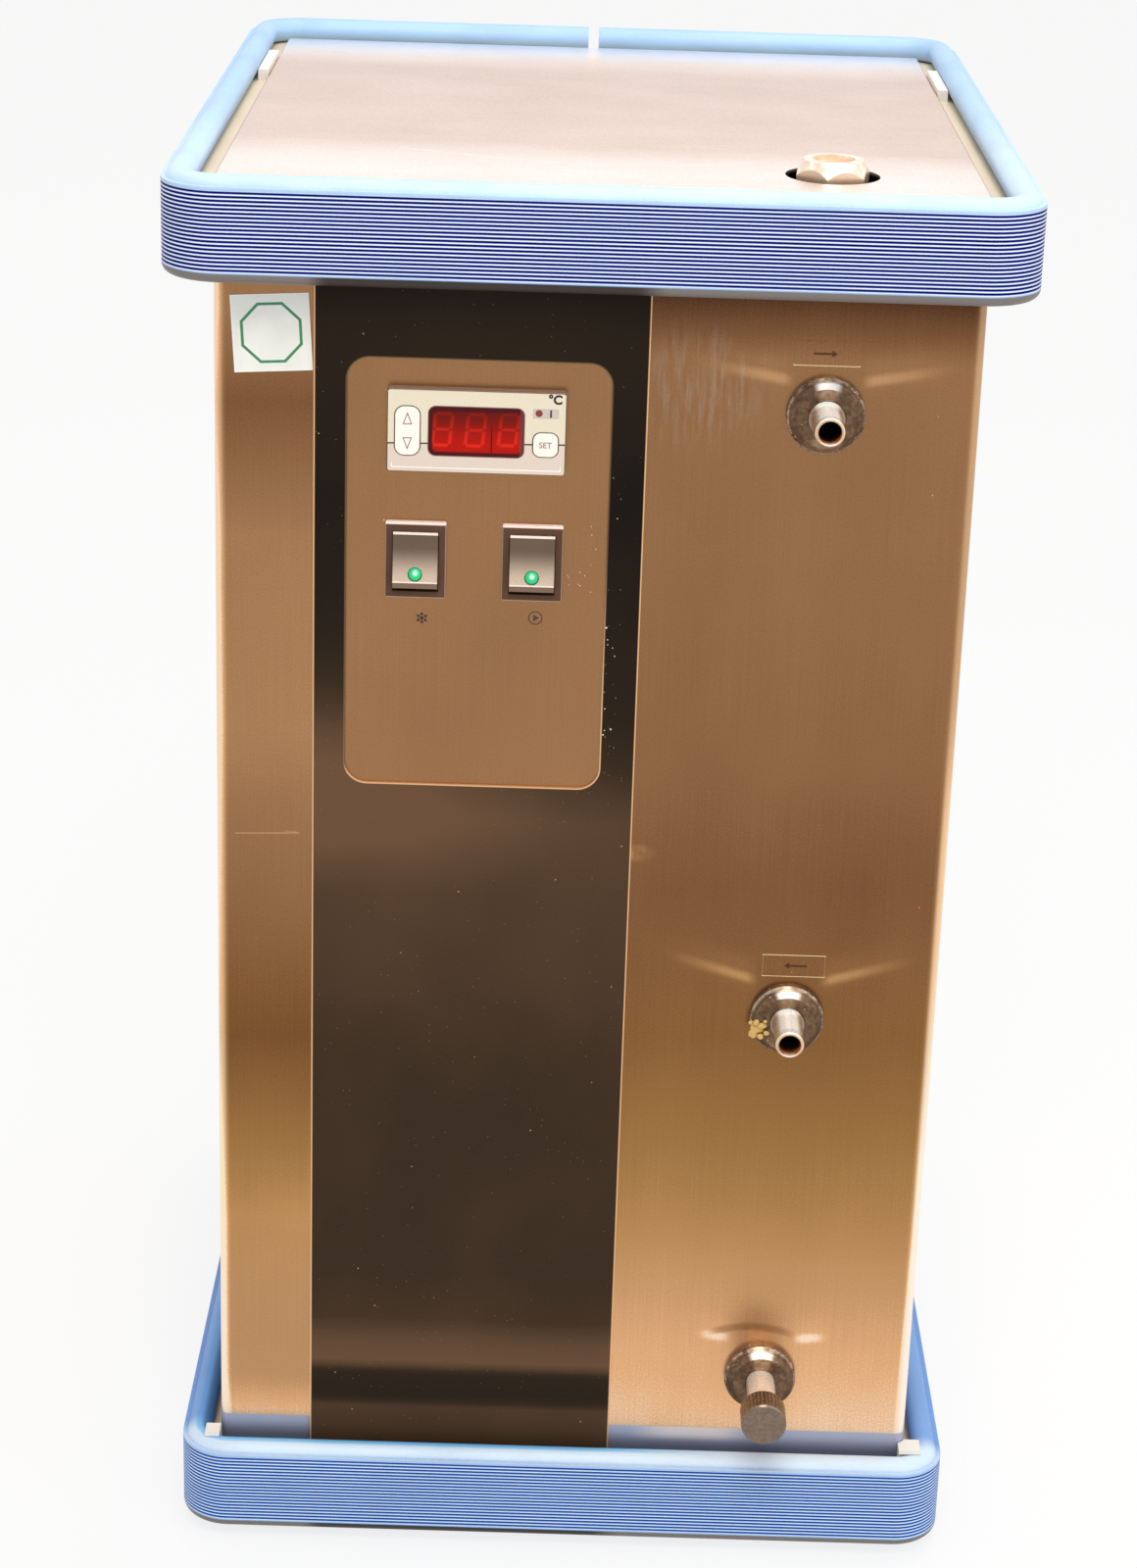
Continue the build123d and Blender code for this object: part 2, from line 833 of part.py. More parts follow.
def bumper(stand_off, tube_z):
    """Bumper bent round the casing, with its two ends facing each other at the middle of the back."""
    return bumper_sweep(stand_off, tube_z, bumper_profile())


def bumper_rail(stand_off, top, bottom):
    """Rail folded to an angle round the casing: an upright leg and a shelf that carries the bumper."""
    leg_reach = half_width + rail_thickness
    shelf = stand_off - bumper_band_thickness - rest_gap
    shelf_reach = half_width + shelf
    leg = rounded_prism(
        -leg_reach, leg_reach, -rail_thickness, body_depth + rail_thickness, bottom, top,
        bend_radius + rail_thickness)
    wing = rounded_prism(
        -shelf_reach, shelf_reach, -shelf, body_depth + shelf, top - rail_thickness, top, bend_radius + shelf)
    hole = rounded_prism(-half_width, half_width, 0, body_depth, bottom - overrun, top + overrun, bend_radius)
    rail = leg + wing - hole
    hole_radius = screw_hole()
    for z in rail_screw_heights():
        if bottom < z < top:
            for sign, y in side_screw_places():
                near, far = sorted((sign * (half_width - overrun), sign * (leg_reach + overrun)))
                rail -= rod_x(near, far, y, z, hole_radius)
            for x in front_screw_places():
                rail -= rod_y(x, z, -rail_thickness - overrun, overrun, hole_radius)
                rail -= rod_y(
                    x, z, body_depth - overrun, body_depth + rail_thickness + overrun, hole_radius)
    return rail


def bumper_blocks():
    """White plastic blocks: two long ones beside the lid and one at each lower corner."""
    inner = half_width + lid_overhang + fit_gap
    outer = half_width + top_bumper_stand_off - bumper_tube_inset - bumper_tube_radius - fit_gap
    blocks = []
    for sign in (-1, 1):
        near, far = sorted((sign * inner, sign * outer))
        back = body_depth - clip_from_back
        blocks.append(block(near, far, back - clip_length, back, rail_top, rail_top + clip_height))
    casing = rounded_prism(
        -half_width - fit_gap, half_width + fit_gap, -fit_gap, body_depth + fit_gap, base_z,
        casing_top, bend_radius + fit_gap)
    tube_edge = bottom_bumper_stand_off - bumper_tube_inset - bumper_tube_radius - fit_gap
    gap = rounded_prism(
        -half_width - tube_edge, half_width + tube_edge, -tube_edge, body_depth + tube_edge,
        bottom_rail_top, casing_top, bend_radius + tube_edge)
    hook_low = bottom_tube_height + bumper_tube_radius + fit_gap
    plain = (-corner_block_in, corner_block_out)
    for sign, rear, side_reach, end_reach in (
            (1, False, plain, plain), (1, True, plain, plain), (-1, True, plain, plain),
            (-1, False, cut_block_side, cut_block_front)):
        near, far = sorted(sign * (half_width + reach) for reach in side_reach)
        low_y, high_y = sorted(body_depth + reach if rear else -reach for reach in end_reach)
        stem = block(near, far, low_y, high_y, bottom_rail_top, hook_low) & gap
        hook = block(near, far, low_y, high_y, hook_low, hook_low + corner_block_hook)
        blocks.append(stem + hook - casing)
    return blocks


def octagon_sticker():
    """Square paper sticker at the top left of the front."""
    half = sticker_size / 2
    sticker = block(-half, half, -sticker_thickness, 0, -half, half)
    return Pos(sticker_x, 0, sticker_z) * Rot(0, -sticker_turn, 0) * sticker


def key_plate(offset_x, offset_z, width, height, radius, gap, y0, y1):
    """Rounded block centred on a key of the controller, grown by a gap."""
    return plate_y(
        controller_x + offset_x, controller_z + offset_z, width + 2 * gap, height + 2 * gap, y0, y1,
        radius + gap)


def controller_pockets(y0, y1):
    """Openings for the two keys."""
    level = key_plate(
        level_key_offset_x, level_key_offset_z, level_key_width, level_key_height, level_key_radius,
        fit_gap, y0, y1)
    set_pocket = key_plate(
        set_key_offset_x, set_key_offset_z, set_key_width, set_key_height, set_key_radius, fit_gap, y0, y1)
    return [level, set_pocket]


def controller_bezel():
    """Dark frame of the controller, with pockets for the display and the keys."""
    bezel = plate_y(controller_x, controller_z, bezel_width, bezel_height, -bezel_depth, 0, bezel_radius)
    bezel = fillet(bezel.faces().sort_by(Axis.Y)[0].edges(), face_margin / 2)
    for pocket in controller_pockets(-bezel_depth - overrun, -bezel_depth + key_depth):
        bezel -= pocket
    bezel -= key_plate(
        display_offset_x, display_offset_z, display_width, display_height, display_radius, press_gap,
        -bezel_depth - overrun, -bezel_depth + display_depth)
    return bezel


def controller_face():
    """Pale front plate of the controller, open at the display and the keys."""
    back = -bezel_depth
    face = plate_y(
        controller_x, controller_z, bezel_width - 2 * face_margin, bezel_height - 2 * face_margin,
        back - face_thickness, back, bezel_radius - face_margin / 2)
    for pocket in controller_pockets(back - face_thickness - overrun, back + overrun):
        face -= pocket
    return face - key_plate(
        display_offset_x, display_offset_z, display_width, display_height, display_radius, press_gap,
        back - face_thickness - overrun, back + overrun)


def controller_housing():
    """Closed case of the controller behind the front sheet."""
    width = cutout_width - 2 * fit_gap
    height = cutout_height - 2 * fit_gap
    return plate_y(controller_x, controller_z, width, height, 0, housing_depth, bezel_radius)


def display_window():
    """Red window over the digits."""
    window = key_plate(
        display_offset_x, display_offset_z, display_width, display_height, display_radius, 0,
        -bezel_depth - face_thickness + press_gap, -bezel_depth + display_depth)
    return window


def level_key():
    """Tilting key with an upper and a lower half, on a ridge across its back."""
    back = -bezel_depth + key_depth - key_pocket_floor
    front = -bezel_depth - face_thickness - key_proud
    key = key_plate(
        level_key_offset_x, level_key_offset_z, level_key_width, level_key_height, level_key_radius, 0,
        front, back)
    key = fillet(key.faces().sort_by(Axis.Y)[0].edges(), key_proud / 2)
    x = controller_x + level_key_offset_x
    reach = level_key_width / 2 - level_key_radius / 2
    ridge = rod_x(x - reach, x + reach, back - fit_gap, controller_z + level_key_offset_z, level_key_ridge)
    return key + ridge


def set_key():
    """Square key that is pressed straight in."""
    key = key_plate(
        set_key_offset_x, set_key_offset_z, set_key_width, set_key_height, set_key_radius, 0,
        -bezel_depth - face_thickness - key_proud, -bezel_depth + key_depth - set_key_travel - fit_gap)
    return fillet(key.faces().sort_by(Axis.Y)[0].edges(), key_proud / 2)


def switch_body(x):
    """Switch case with its front frame, a cavity for the rocker and two pivot holes."""
    frame = plate_y(
        x, switch_z, switch_frame_width, switch_frame_height, -switch_frame_depth, 0, switch_frame_radius)
    frame = fillet(frame.faces().sort_by(Axis.Y)[0].edges(), switch_frame_radius / 2)
    width = switch_cutout_width - 2 * press_gap
    height = switch_cutout_height - 2 * press_gap
    body = frame + block(
        x - width / 2, x + width / 2, 0, switch_body_depth, switch_z - height / 2, switch_z + height / 2)
    opening_x = rocker_width / 2 + fit_gap
    opening_z = rocker_height / 2 + rocker_swing_room
    body -= block(
        x - opening_x, x + opening_x, -switch_frame_depth - overrun, 0, rocker_z - opening_z,
        rocker_z + opening_z)
    neck = rocker_neck_width / 2 + fit_gap
    body -= block(x - neck, x + neck, -overrun, switch_cavity_depth, rocker_z - opening_z, rocker_z + opening_z)
    pin_reach = rocker_pin_reach() + fit_gap
    return body - rod_x(x - pin_reach, x + pin_reach, pivot_depth, rocker_z, pivot_radius + running_gap)


def rocker_pin_reach():
    """Half the length of the rocker's pivot, from the middle of the rocker."""
    return switch_cutout_width / 2 - pivot_end_room


def lens_pocket():
    """Depth of the floor of the lens pocket, and the lens centre's height, in the rocker's own frame."""
    return -rocker_front + lens_depth + lens_dome, -lens_drop


def tilted(shape, x):
    """A rocker piece turned from its middle position to its rest position."""
    return Pos(x, pivot_depth, rocker_z) * Rot(-rocker_tilt, 0, 0) * Pos(0, -pivot_depth, 0) * shape


def switch_rocker(x):
    """Rocker with a hollowed front, a neck and a pivot, at rest with its lower end out."""
    slab = block(-rocker_width / 2, rocker_width / 2, -rocker_front - overrun, -rocker_back,
                 -rocker_height / 2, rocker_height / 2)
    hollow_y = -rocker_front - math.sqrt(rocker_hollow_radius ** 2 - (rocker_height / 2) ** 2)
    slab -= rod_x(-rocker_width, rocker_width, hollow_y, 0, rocker_hollow_radius)
    slab = chamfer(slab.edges().filter_by(Axis.X).group_by(Axis.Y)[0].sort_by(Axis.Z)[-1], rocker_top_bevel)
    slab = chamfer(
        slab.edges().filter_by(Axis.X).group_by(Axis.Y)[0], rocker_lip_depth, rocker_lip_height,
        reference=slab.faces().sort_by(Axis.Z)[0])
    neck = block(-rocker_neck_width / 2, rocker_neck_width / 2, -rocker_back, rocker_neck_depth,
                 -rocker_neck_height / 2, rocker_neck_height / 2)
    reach = rocker_pin_reach()
    rocker = slab + neck + rod_x(-reach, reach, pivot_depth, 0, pivot_radius)
    floor, height = lens_pocket()
    rocker -= rod_y(0, height, -rocker_front - overrun, floor, lens_radius + press_gap)
    return tilted(rocker, x)


def switch_lens(x):
    """Domed signal lens in the lower end of the rocker."""
    floor, height = lens_pocket()
    shoulder = floor - lens_depth
    lens = rod_y(0, height, shoulder, floor, lens_radius)
    dome_radius = (lens_radius ** 2 + lens_dome ** 2) / (2 * lens_dome)
    dome = Pos(0, shoulder - lens_dome + dome_radius, height) * Sphere(dome_radius)
    dome &= block(-lens_radius, lens_radius, shoulder - lens_dome, shoulder, height - lens_radius,
                  height + lens_radius)
    return tilted(lens + dome, x)


def flange_outline(bore, back):
    """Half section of a stepped round flange, as (radius, y) points."""
    rim = port_flange_radius
    step = rim - port_flange_step
    front = -port_flange_depth
    return [
        (bore, back), (rim, back), (rim, front + port_flange_step_depth + port_flange_step),
        (step, front + port_flange_step_depth), (step, front + port_flange_chamfer),
        (step - port_flange_chamfer, front), (bore, front)]


def port_flange(x, z):
    """Round stepped flange of a hose port."""
    return turned_y(x, z, flange_outline(port_thread_radius + fit_gap, 0))


def hose_nipple(x, z):
    """Turned hose nipple with barbs outside, a thread through the sheet and a tail inside."""
    bore = port_bore_radius
    tip = -nipple_reach
    land = tip + nipple_end_length
    outline = [(bore, tip), (nipple_end_radius - nipple_ease, tip), (nipple_end_radius, tip + nipple_ease)]
    outline += [(nipple_end_radius, land - 2 * nipple_ease), (nipple_core_radius, land)]
    for index in range(nipple_barb_count):
        start = land + index * nipple_barb_pitch
        crest = start + nipple_barb_pitch - nipple_ease
        outline += [(nipple_core_radius, start + nipple_ease / 2), (nipple_barb_radius, crest)]
        outline += [(nipple_core_radius, crest + nipple_ease / 2)]
    shoulder = -port_flange_depth - nipple_ease
    outline += [
        (nipple_core_radius, shoulder), (port_thread_radius, shoulder), (port_thread_radius, port_thread_reach),
        (port_tail_radius, port_thread_reach), (port_tail_radius, port_tail_reach), (bore, port_tail_reach)]
    return turned_y(x, z, outline)


def drain_flange():
    """Flange, threaded tube and tail of the drain port in one piece, with a seat for the seal."""
    bore = port_bore_radius
    seat = drain_neck_radius + fit_gap
    outline = flange_outline(seat, 0)
    outline = outline[1:] + [(seat, seal_face), (bore, seal_face), (bore, port_tail_reach)]
    outline += [
        (port_tail_radius, port_tail_reach), (port_tail_radius, port_thread_reach),
        (port_thread_radius, port_thread_reach), (port_thread_radius, 0)]
    return turned_y(drain_x, drain_z, outline)


def drain_seal():
    """Flat ring at the inner end of the drain plug."""
    front = seal_face - drain_seal_thickness
    return ring_y(drain_x, drain_z, front, seal_face, drain_neck_radius - fit_gap, drain_seal_hole)


def drain_plug():
    """Turned plug with a smooth neck and a knurled knob."""
    tip = -drain_knob_reach
    back = tip + drain_knob_depth
    plug = turned_y(drain_x, drain_z, [
        (0, tip), (drain_knob_radius - drain_knob_chamfer, tip), (drain_knob_radius, tip + drain_knob_chamfer),
        (drain_knob_radius, back - drain_knob_chamfer), (drain_knob_radius - drain_knob_chamfer, back),
        (drain_neck_radius, back), (drain_neck_radius, seal_face - drain_seal_thickness),
        (0, seal_face - drain_seal_thickness)])
    for index in range(drain_knurl_count):
        angle = 360.0 / drain_knurl_count * index
        notch = Pos(drain_knob_radius, 0, 0) * Rot(0, 45, 0) * Box(
            drain_knurl_depth, drain_knob_depth - 4 * drain_knob_chamfer, drain_knurl_depth)
        plug -= Pos(drain_x, (tip + back) / 2, drain_z) * Rot(0, angle, 0) * notch
    return plug


def port_lock_nuts():
    """Hexagonal nuts that hold the three ports from inside."""
    nuts = []
    for x, z in ports():
        nut = hexagon_y(x, z, sheet, sheet + lock_nut_depth, lock_nut_flats)
        nuts.append(nut - rod_y(x, z, 0, sheet + lock_nut_depth + overrun, port_thread_radius + press_gap))
    return nuts


def mid_shelf():
    """Folded shelf that carries the tank, with holes for what passes through."""
    reach = inner_half - press_gap
    front = sheet + press_gap + lock_nut_depth
    low = shelf_height - shelf_flange
    shelf = block(-reach, reach, front, shelf_back, low, shelf_height)
    shelf -= block(
        -reach + shelf_thickness, reach - shelf_thickness, front - overrun, shelf_back + overrun,
        low - overrun, shelf_height - shelf_thickness)
    for x, y in ((suction_nozzle_x, suction_nozzle_y), (drain_nozzle_x, drain_nozzle_y)):
        shelf -= rod_z(x, y, low, shelf_height + overrun, hose_radius + line_hole_gap)
    for x, y, radius in ((drier_x, drier_y, liquid_radius), (suction_stub_x, compressor_y, suction_radius)):
        shelf -= rod_z(x, y, low, shelf_height + overrun, radius + line_hole_gap)
    return shelf


def tank():
    """Water tank, open at the top, with three hose nozzles."""
    box = rounded_prism(tank_left, tank_right, tank_front, tank_back, tank_bottom, tank_top, 4 * tank_wall)
    nozzle_y = tank_front - nozzle_length + hose_grip / 4
    for x, y in ((suction_nozzle_x, suction_nozzle_y), (drain_nozzle_x, drain_nozzle_y)):
        box += rod_z(x, y, tank_bottom - nozzle_length, tank_bottom, port_tail_radius)
    box += rod_y(inlet_x, inlet_z, nozzle_y, tank_front, port_tail_radius)
    box -= rounded_prism(
        tank_left + tank_wall, tank_right - tank_wall, tank_front + tank_wall, tank_back - tank_wall,
        tank_bottom + tank_wall, tank_top + overrun, 3 * tank_wall)
    for x, y in ((suction_nozzle_x, suction_nozzle_y), (drain_nozzle_x, drain_nozzle_y)):
        box -= rod_z(x, y, tank_bottom - nozzle_length - overrun, tank_bottom + 2 * tank_wall, port_bore_radius)
    return box - rod_y(inlet_x, inlet_z, nozzle_y - overrun, tank_front + 2 * tank_wall, port_bore_radius)


def coil_ends():
    """Places where the evaporator's two ends come up through the tank cover, as (x, y)."""
    last_y = evaporator_near if evaporator_runs % 2 else evaporator_far
    return [(evaporator_x, evaporator_riser_y), (evaporator_x, last_y)]


def tank_cover():
    """Tank cover moulded in one piece with the filler neck."""
    cover = rounded_prism(
        tank_left, tank_right, tank_front, tank_back, tank_top, cover_top, 4 * tank_wall)
    cover += rod_z(filler_x, filler_y, tank_top, neck_top, neck_radius)
    cover -= rod_z(filler_x, filler_y, tank_top - overrun, neck_top + overrun, neck_bore_radius)
    for x, y in coil_ends():
        cover -= rod_z(x, y, tank_top - overrun, cover_top + overrun, coil_tube_radius + fit_gap)
    return cover - rod_z(probe_x, probe_y, tank_top - overrun, cover_top + overrun, probe_radius + fit_gap)


def filler_seal():
    """Flat ring between the filler neck and the cap."""
    return ring_z(filler_x, filler_y, neck_top, cap_head_bottom, neck_radius, neck_bore_radius + fit_gap / 2)


def filler_cap():
    """Screw plug of the filler: a chamfered hexagonal head with a round recess, on a hollow stem."""
    start = Pos(filler_x, filler_y, cap_head_bottom) * Rot(0, 0, cap_turn)
    outline = start * RegularPolygon(cap_flats / 2, 6, major_radius=False)
    corner = cap_flats / math.sqrt(3) + overrun
    head = extrude(outline, amount=cap_head_height)
    cone = turned_z(filler_x, filler_y, [
        (0, cap_head_bottom - overrun), (corner, cap_head_bottom - overrun),
        (corner, cap_top - cap_slope * (corner - cap_top_radius)),
        (cap_top_radius, cap_top), (0, cap_top)])
    head &= cone
    head -= rod_z(filler_x, filler_y, cap_top - cap_recess_depth, cap_top + overrun, cap_recess_radius)
    stem_radius = neck_bore_radius - fit_gap
    stem = ring_z(filler_x, filler_y, cap_head_bottom - cap_stem_length, cap_head_bottom, stem_radius,
                  stem_radius - cap_stem_wall)
    return head + stem


def temperature_probe():
    """Thin probe hanging into the tank from a round head on the cover."""
    head = rod_z(probe_x, probe_y, cover_top, cover_top + probe_head_height, probe_head_radius)
    return head + rod_z(probe_x, probe_y, tank_bottom + probe_floor_room, cover_top, probe_radius)


def evaporator_coil():
    """Copper tube folded back and forth in the tank, with both ends up through the cover."""
    points = [
        (evaporator_x, evaporator_riser_y, coil_top), (evaporator_x, evaporator_riser_y, evaporator_bottom)]
    radii = [evaporator_pitch / 2 - evaporator_bend_ease]
    for run in range(evaporator_runs):
        z = evaporator_bottom + run * evaporator_pitch
        end_y = evaporator_near if run % 2 == 0 else evaporator_far
        points.append((evaporator_x, end_y, z))
        radii.append(evaporator_pitch / 2 - evaporator_bend_ease)
        if run < evaporator_runs - 1:
            points.append((evaporator_x, end_y, z + evaporator_pitch))
            radii.append(evaporator_pitch / 2 - evaporator_bend_ease)
    points.append((evaporator_x, points[-1][1], coil_top))
    return pipe(points, coil_tube_radius, coil_tube_bore, radii)


def pump_levels():
    """Bottom and top of the pump's water chamber."""
    low = pump_port_z - pump_cavity_height / 2
    return low, low + pump_cavity_height


def pump_housing():
    """Pump chamber with two ports in line, on a square foot."""
    low, high = pump_levels()
    housing = rod_z(pump_x, pump_y, low - pump_wall, high + pump_wall, pump_radius)
    housing += rod_y(pump_x, pump_port_z, pump_y - pump_port_reach, pump_y + pump_port_reach, port_tail_radius)
    half = pump_foot_size / 2
    housing += block(pump_x - half, pump_x + half, pump_y - half, pump_y + half, tray_floor, low)
    housing -= rod_z(pump_x, pump_y, low, high, pump_cavity_radius)
    housing -= rod_y(
        pump_x, pump_port_z, pump_y - pump_port_reach - overrun, pump_y + pump_port_reach + overrun,
        port_bore_radius)
    return housing - rod_z(
        pump_x, pump_y, high - overrun, high + pump_wall + overrun, shaft_radius + running_gap)


def pump_impeller():
    """Impeller and its shaft."""
    low, high = pump_levels()
    bottom = low + impeller_gap
    vane_top = high - impeller_gap
    wheel = rod_z(pump_x, pump_y, bottom, bottom + impeller_disc, impeller_radius)
    wheel += rod_z(pump_x, pump_y, bottom, vane_top, impeller_hub_radius)
    wheel += rod_z(pump_x, pump_y, bottom, high + pump_wall + shaft_socket, shaft_radius)
    half = impeller_vane_thickness / 2
    for index in range(impeller_vanes):
        vane = block(impeller_hub_radius - overrun, impeller_radius - overrun, -half, half, bottom, vane_top)
        wheel += Pos(pump_x, pump_y, 0) * Rot(0, 0, 360.0 / impeller_vanes * index) * vane
    return wheel


def pump_motor():
    """Ribbed motor on top of the pump chamber, with a socket for the shaft."""
    base = pump_levels()[1] + pump_wall
    top = base + motor_height
    motor = rod_z(pump_x, pump_y, base, top, motor_radius)
    motor = fillet(motor.edges().group_by(Axis.Z)[-1], 3 * motor_rib_depth)
    for index in range(motor_rib_count):
        angle = 360.0 / motor_rib_count * index
        groove = block(motor_radius - motor_rib_depth, motor_radius + overrun, -motor_rib_depth, motor_rib_depth,
                       base + 4 * motor_rib_depth, top - 6 * motor_rib_depth)
        motor -= Pos(pump_x, pump_y, 0) * Rot(0, 0, angle) * groove
    socket_top = base + shaft_socket + fit_gap
    return motor - rod_z(pump_x, pump_y, base - overrun, socket_top, shaft_radius + running_gap)


def return_hose():
    """Straight hose from the inlet to the tank."""
    start = port_tail_reach - hose_grip / 2
    end = tank_front - fit_gap
    return ring_y(inlet_x, inlet_z, start, end, hose_radius, hose_bore)


def suction_route():
    """Route of the hose from the tank down to the pump."""
    return [
        (suction_nozzle_x, suction_nozzle_y, tank_bottom - nozzle_length + hose_grip),
        (suction_nozzle_x, suction_nozzle_y, pump_port_z),
        (pump_x, pump_y + pump_port_reach - hose_grip, pump_port_z)]


def supply_route():
    """Route of the hose from the pump up to the outlet."""
    return [
        (pump_x, pump_y - pump_port_reach + hose_grip, pump_port_z),
        (pump_x, pump_y - pump_port_reach - supply_lead, pump_port_z),
        (half_width - supply_from_right, supply_riser_y, pump_port_z + supply_rise),
        (half_width - supply_from_right, supply_riser_y, outlet_z - supply_drop),
        (outlet_x, supply_turn_y, outlet_z),
        (outlet_x, port_tail_reach - hose_grip / 2, outlet_z)]


def drain_route():
    """Route of the hose from the tank down to the drain."""
    return [
        (drain_nozzle_x, drain_nozzle_y, tank_bottom - nozzle_length + hose_grip),
        (drain_nozzle_x, drain_nozzle_y, drain_z + drain_drop),
        ((drain_nozzle_x + drain_x) / 2, drain_knee_y, drain_z + drain_knee_rise),
        (drain_x, drain_turn_y, drain_z),
        (drain_x, port_tail_reach - hose_grip / 2, drain_z)]


def hose(route):
    """Rubber hose along a route."""
    return pipe(route, hose_radius, hose_bore)


def hose_clamps():
    """Steel bands round both ends of each hose."""
    bore = hose_radius + clamp_gap
    outer = bore + clamp_thickness
    y_places = [
        (inlet_x, inlet_z, port_tail_reach - hose_grip / 2 + clamp_end_room),
        (inlet_x, inlet_z, tank_front - clamp_width - 2 * fit_gap),
        (outlet_x, outlet_z, port_tail_reach - hose_grip / 2 + clamp_end_room),
        (drain_x, drain_z, port_tail_reach - hose_grip / 2 + clamp_end_room),
        (pump_x, pump_port_z, pump_y + pump_port_reach - clamp_width - clamp_set_back),
        (pump_x, pump_port_z, pump_y - pump_port_reach + clamp_set_back)]
    clamps = [ring_y(x, z, y, y + clamp_width, outer, bore) for x, z, y in y_places]
    low = tank_bottom - nozzle_length + 2 * clamp_end_room
    for x, y in ((suction_nozzle_x, suction_nozzle_y), (drain_nozzle_x, drain_nozzle_y)):
        clamps.append(ring_z(x, y, low, low + clamp_width, outer, bore))
    return clamps


def compressor():
    """Welded compressor shell with its foot plate, terminal box and two stubs."""
    top = compressor_base + compressor_height
    shell = rod_z(compressor_x, compressor_y, compressor_base, top, compressor_radius)
    shell = fillet(shell.edges().group_by(Axis.Z)[-1], compressor_dome)
    half_x = compressor_radius + compressor_plate_overhang
    half_y = compressor_plate_depth / 2
    unit = shell + rounded_prism(
        compressor_x - half_x, compressor_x + half_x, compressor_y - half_y, compressor_y + half_y,
        grommet_top, compressor_base, grommet_radius)
    box_low = compressor_base + compressor_dome
    unit += block(
        compressor_x, compressor_x + compressor_radius + terminal_box_depth,
        compressor_y - terminal_box_width / 2, compressor_y + terminal_box_width / 2,
        box_low, box_low + terminal_box_height)
    unit += rod_y(discharge_stub_x, discharge_stub_z, compressor_y, discharge_stub_end(), stub_radius)
    unit += rod_z(suction_stub_x, compressor_y, compressor_base, suction_stub_end(), stub_radius)
    for x, y in grommet_places():
        unit -= rod_z(x, y, grommet_top - overrun, compressor_base + overrun, stud_radius + fit_gap)
    return unit


def discharge_stub_end():
    """How far back the discharge stub reaches."""
    return compressor_y + compressor_radius + stub_reach - stub_radius


def suction_stub_end():
    """Top of the suction stub."""
    return compressor_base + compressor_height + stub_radius


def compressor_mounts():
    """Four rubber grommets under the compressor."""
    return [
        ring_z(x, y, tray_floor, grommet_top, grommet_radius, stud_radius + fit_gap)
        for x, y in grommet_places()]


def condenser_levels():
    """Heights of the condenser's tube runs."""
    return [condenser_low + index * condenser_pitch for index in range(condenser_runs)]


def condenser_coil():
    """Copper tube folded back and forth through the fins, with both tails pointing forwards."""
    left = shroud_left - condenser_bend_reach
    right = shroud_left + shroud_width + condenser_bend_reach
    levels = condenser_levels()
    radius = condenser_pitch / 2 - condenser_bend_ease
    points = [(left, condenser_y - condenser_tail, levels[-1]), (left, condenser_y, levels[-1])]
    radii = [condenser_tail_radius]
    for index, z in enumerate(reversed(levels)):
        end = right if index % 2 == 0 else left
        points.append((end, condenser_y, z))
        if index < condenser_runs - 1:
            points.append((end, condenser_y, z - condenser_pitch))
            radii += [radius, radius]
    radii.append(condenser_tail_radius)
    points.append((left, condenser_y - condenser_tail, levels[0]))
    return pipe(points, coil_tube_radius, coil_tube_bore, radii)


def condenser_fins():
    """Thin fins across the condenser's tube runs."""
    low = tray_floor + shroud_sheet + rest_gap
    high = tray_floor + shroud_height - shroud_sheet - rest_gap
    first = shroud_left + 2 * shroud_sheet + fin_thickness
    last = shroud_left + shroud_width - 2 * shroud_sheet - 2 * fin_thickness
    step = (last - first) / (fin_count - 1)
    fins = []
    for index in range(fin_count):
        x = first + index * step
        fin = block(x, x + fin_thickness, condenser_y - fin_depth / 2, condenser_y + fin_depth / 2, low, high)
        for z in condenser_levels():
            fin -= rod_x(x - overrun, x + fin_thickness + overrun, condenser_y, z, coil_tube_radius + press_gap)
        fins.append(fin)
    return fins


def fan_shroud():
    """Sheet box round the condenser, with tube holes in its sides and a ring round the fan."""
    right = shroud_left + shroud_width
    top = tray_floor + shroud_height
    box = block(shroud_left, right, shroud_front, shroud_back, tray_floor, top)
    box -= block(
        shroud_left + shroud_sheet, right - shroud_sheet, shroud_front + shroud_sheet, shroud_back + overrun,
        tray_floor + shroud_sheet, top - shroud_sheet)
    opening = fan_radius + fan_ring_gap
    ring_front = shroud_front - fan_ring_depth
    box += rod_y(fan_x, fan_z, ring_front, shroud_front + shroud_sheet, opening + shroud_sheet)
    box -= rod_y(fan_x, fan_z, ring_front - overrun, shroud_front + 2 * shroud_sheet, opening)
    for z in condenser_levels():
        box -= rod_x(shroud_left - overrun, right + overrun, condenser_y, z, coil_tube_radius + press_gap)
    return box


def fan_levels():
    """Front and back of the fan's hub."""
    back = shroud_front - (fan_ring_depth - fan_hub_depth) / 2
    return back - fan_hub_depth, back


def fan_blades():
    """Fan with pitched blades on a round hub, and its short shaft."""
    front, back = fan_levels()
    middle = (front + back) / 2
    hub = rod_y(fan_x, fan_z, front, back, fan_hub_radius)
    envelope = ring_y(0, 0, -fan_hub_depth / 2, fan_hub_depth / 2, fan_radius, fan_hub_radius - overrun)
    for index in range(fan_blade_count):
        blade = Pos(fan_radius / 2, 0, 0) * Rot(fan_blade_pitch, 0, 0) * Box(
            fan_radius + 2 * fan_margin, fan_blade_thickness, fan_blade_width)
        blade &= envelope
        hub += Pos(fan_x, middle, fan_z) * Rot(0, 360.0 / fan_blade_count * index, 0) * blade
    tip = front - fan_motor_gap - fan_shaft_socket
    return hub + rod_y(fan_x, fan_z, tip, front, fan_shaft_radius)


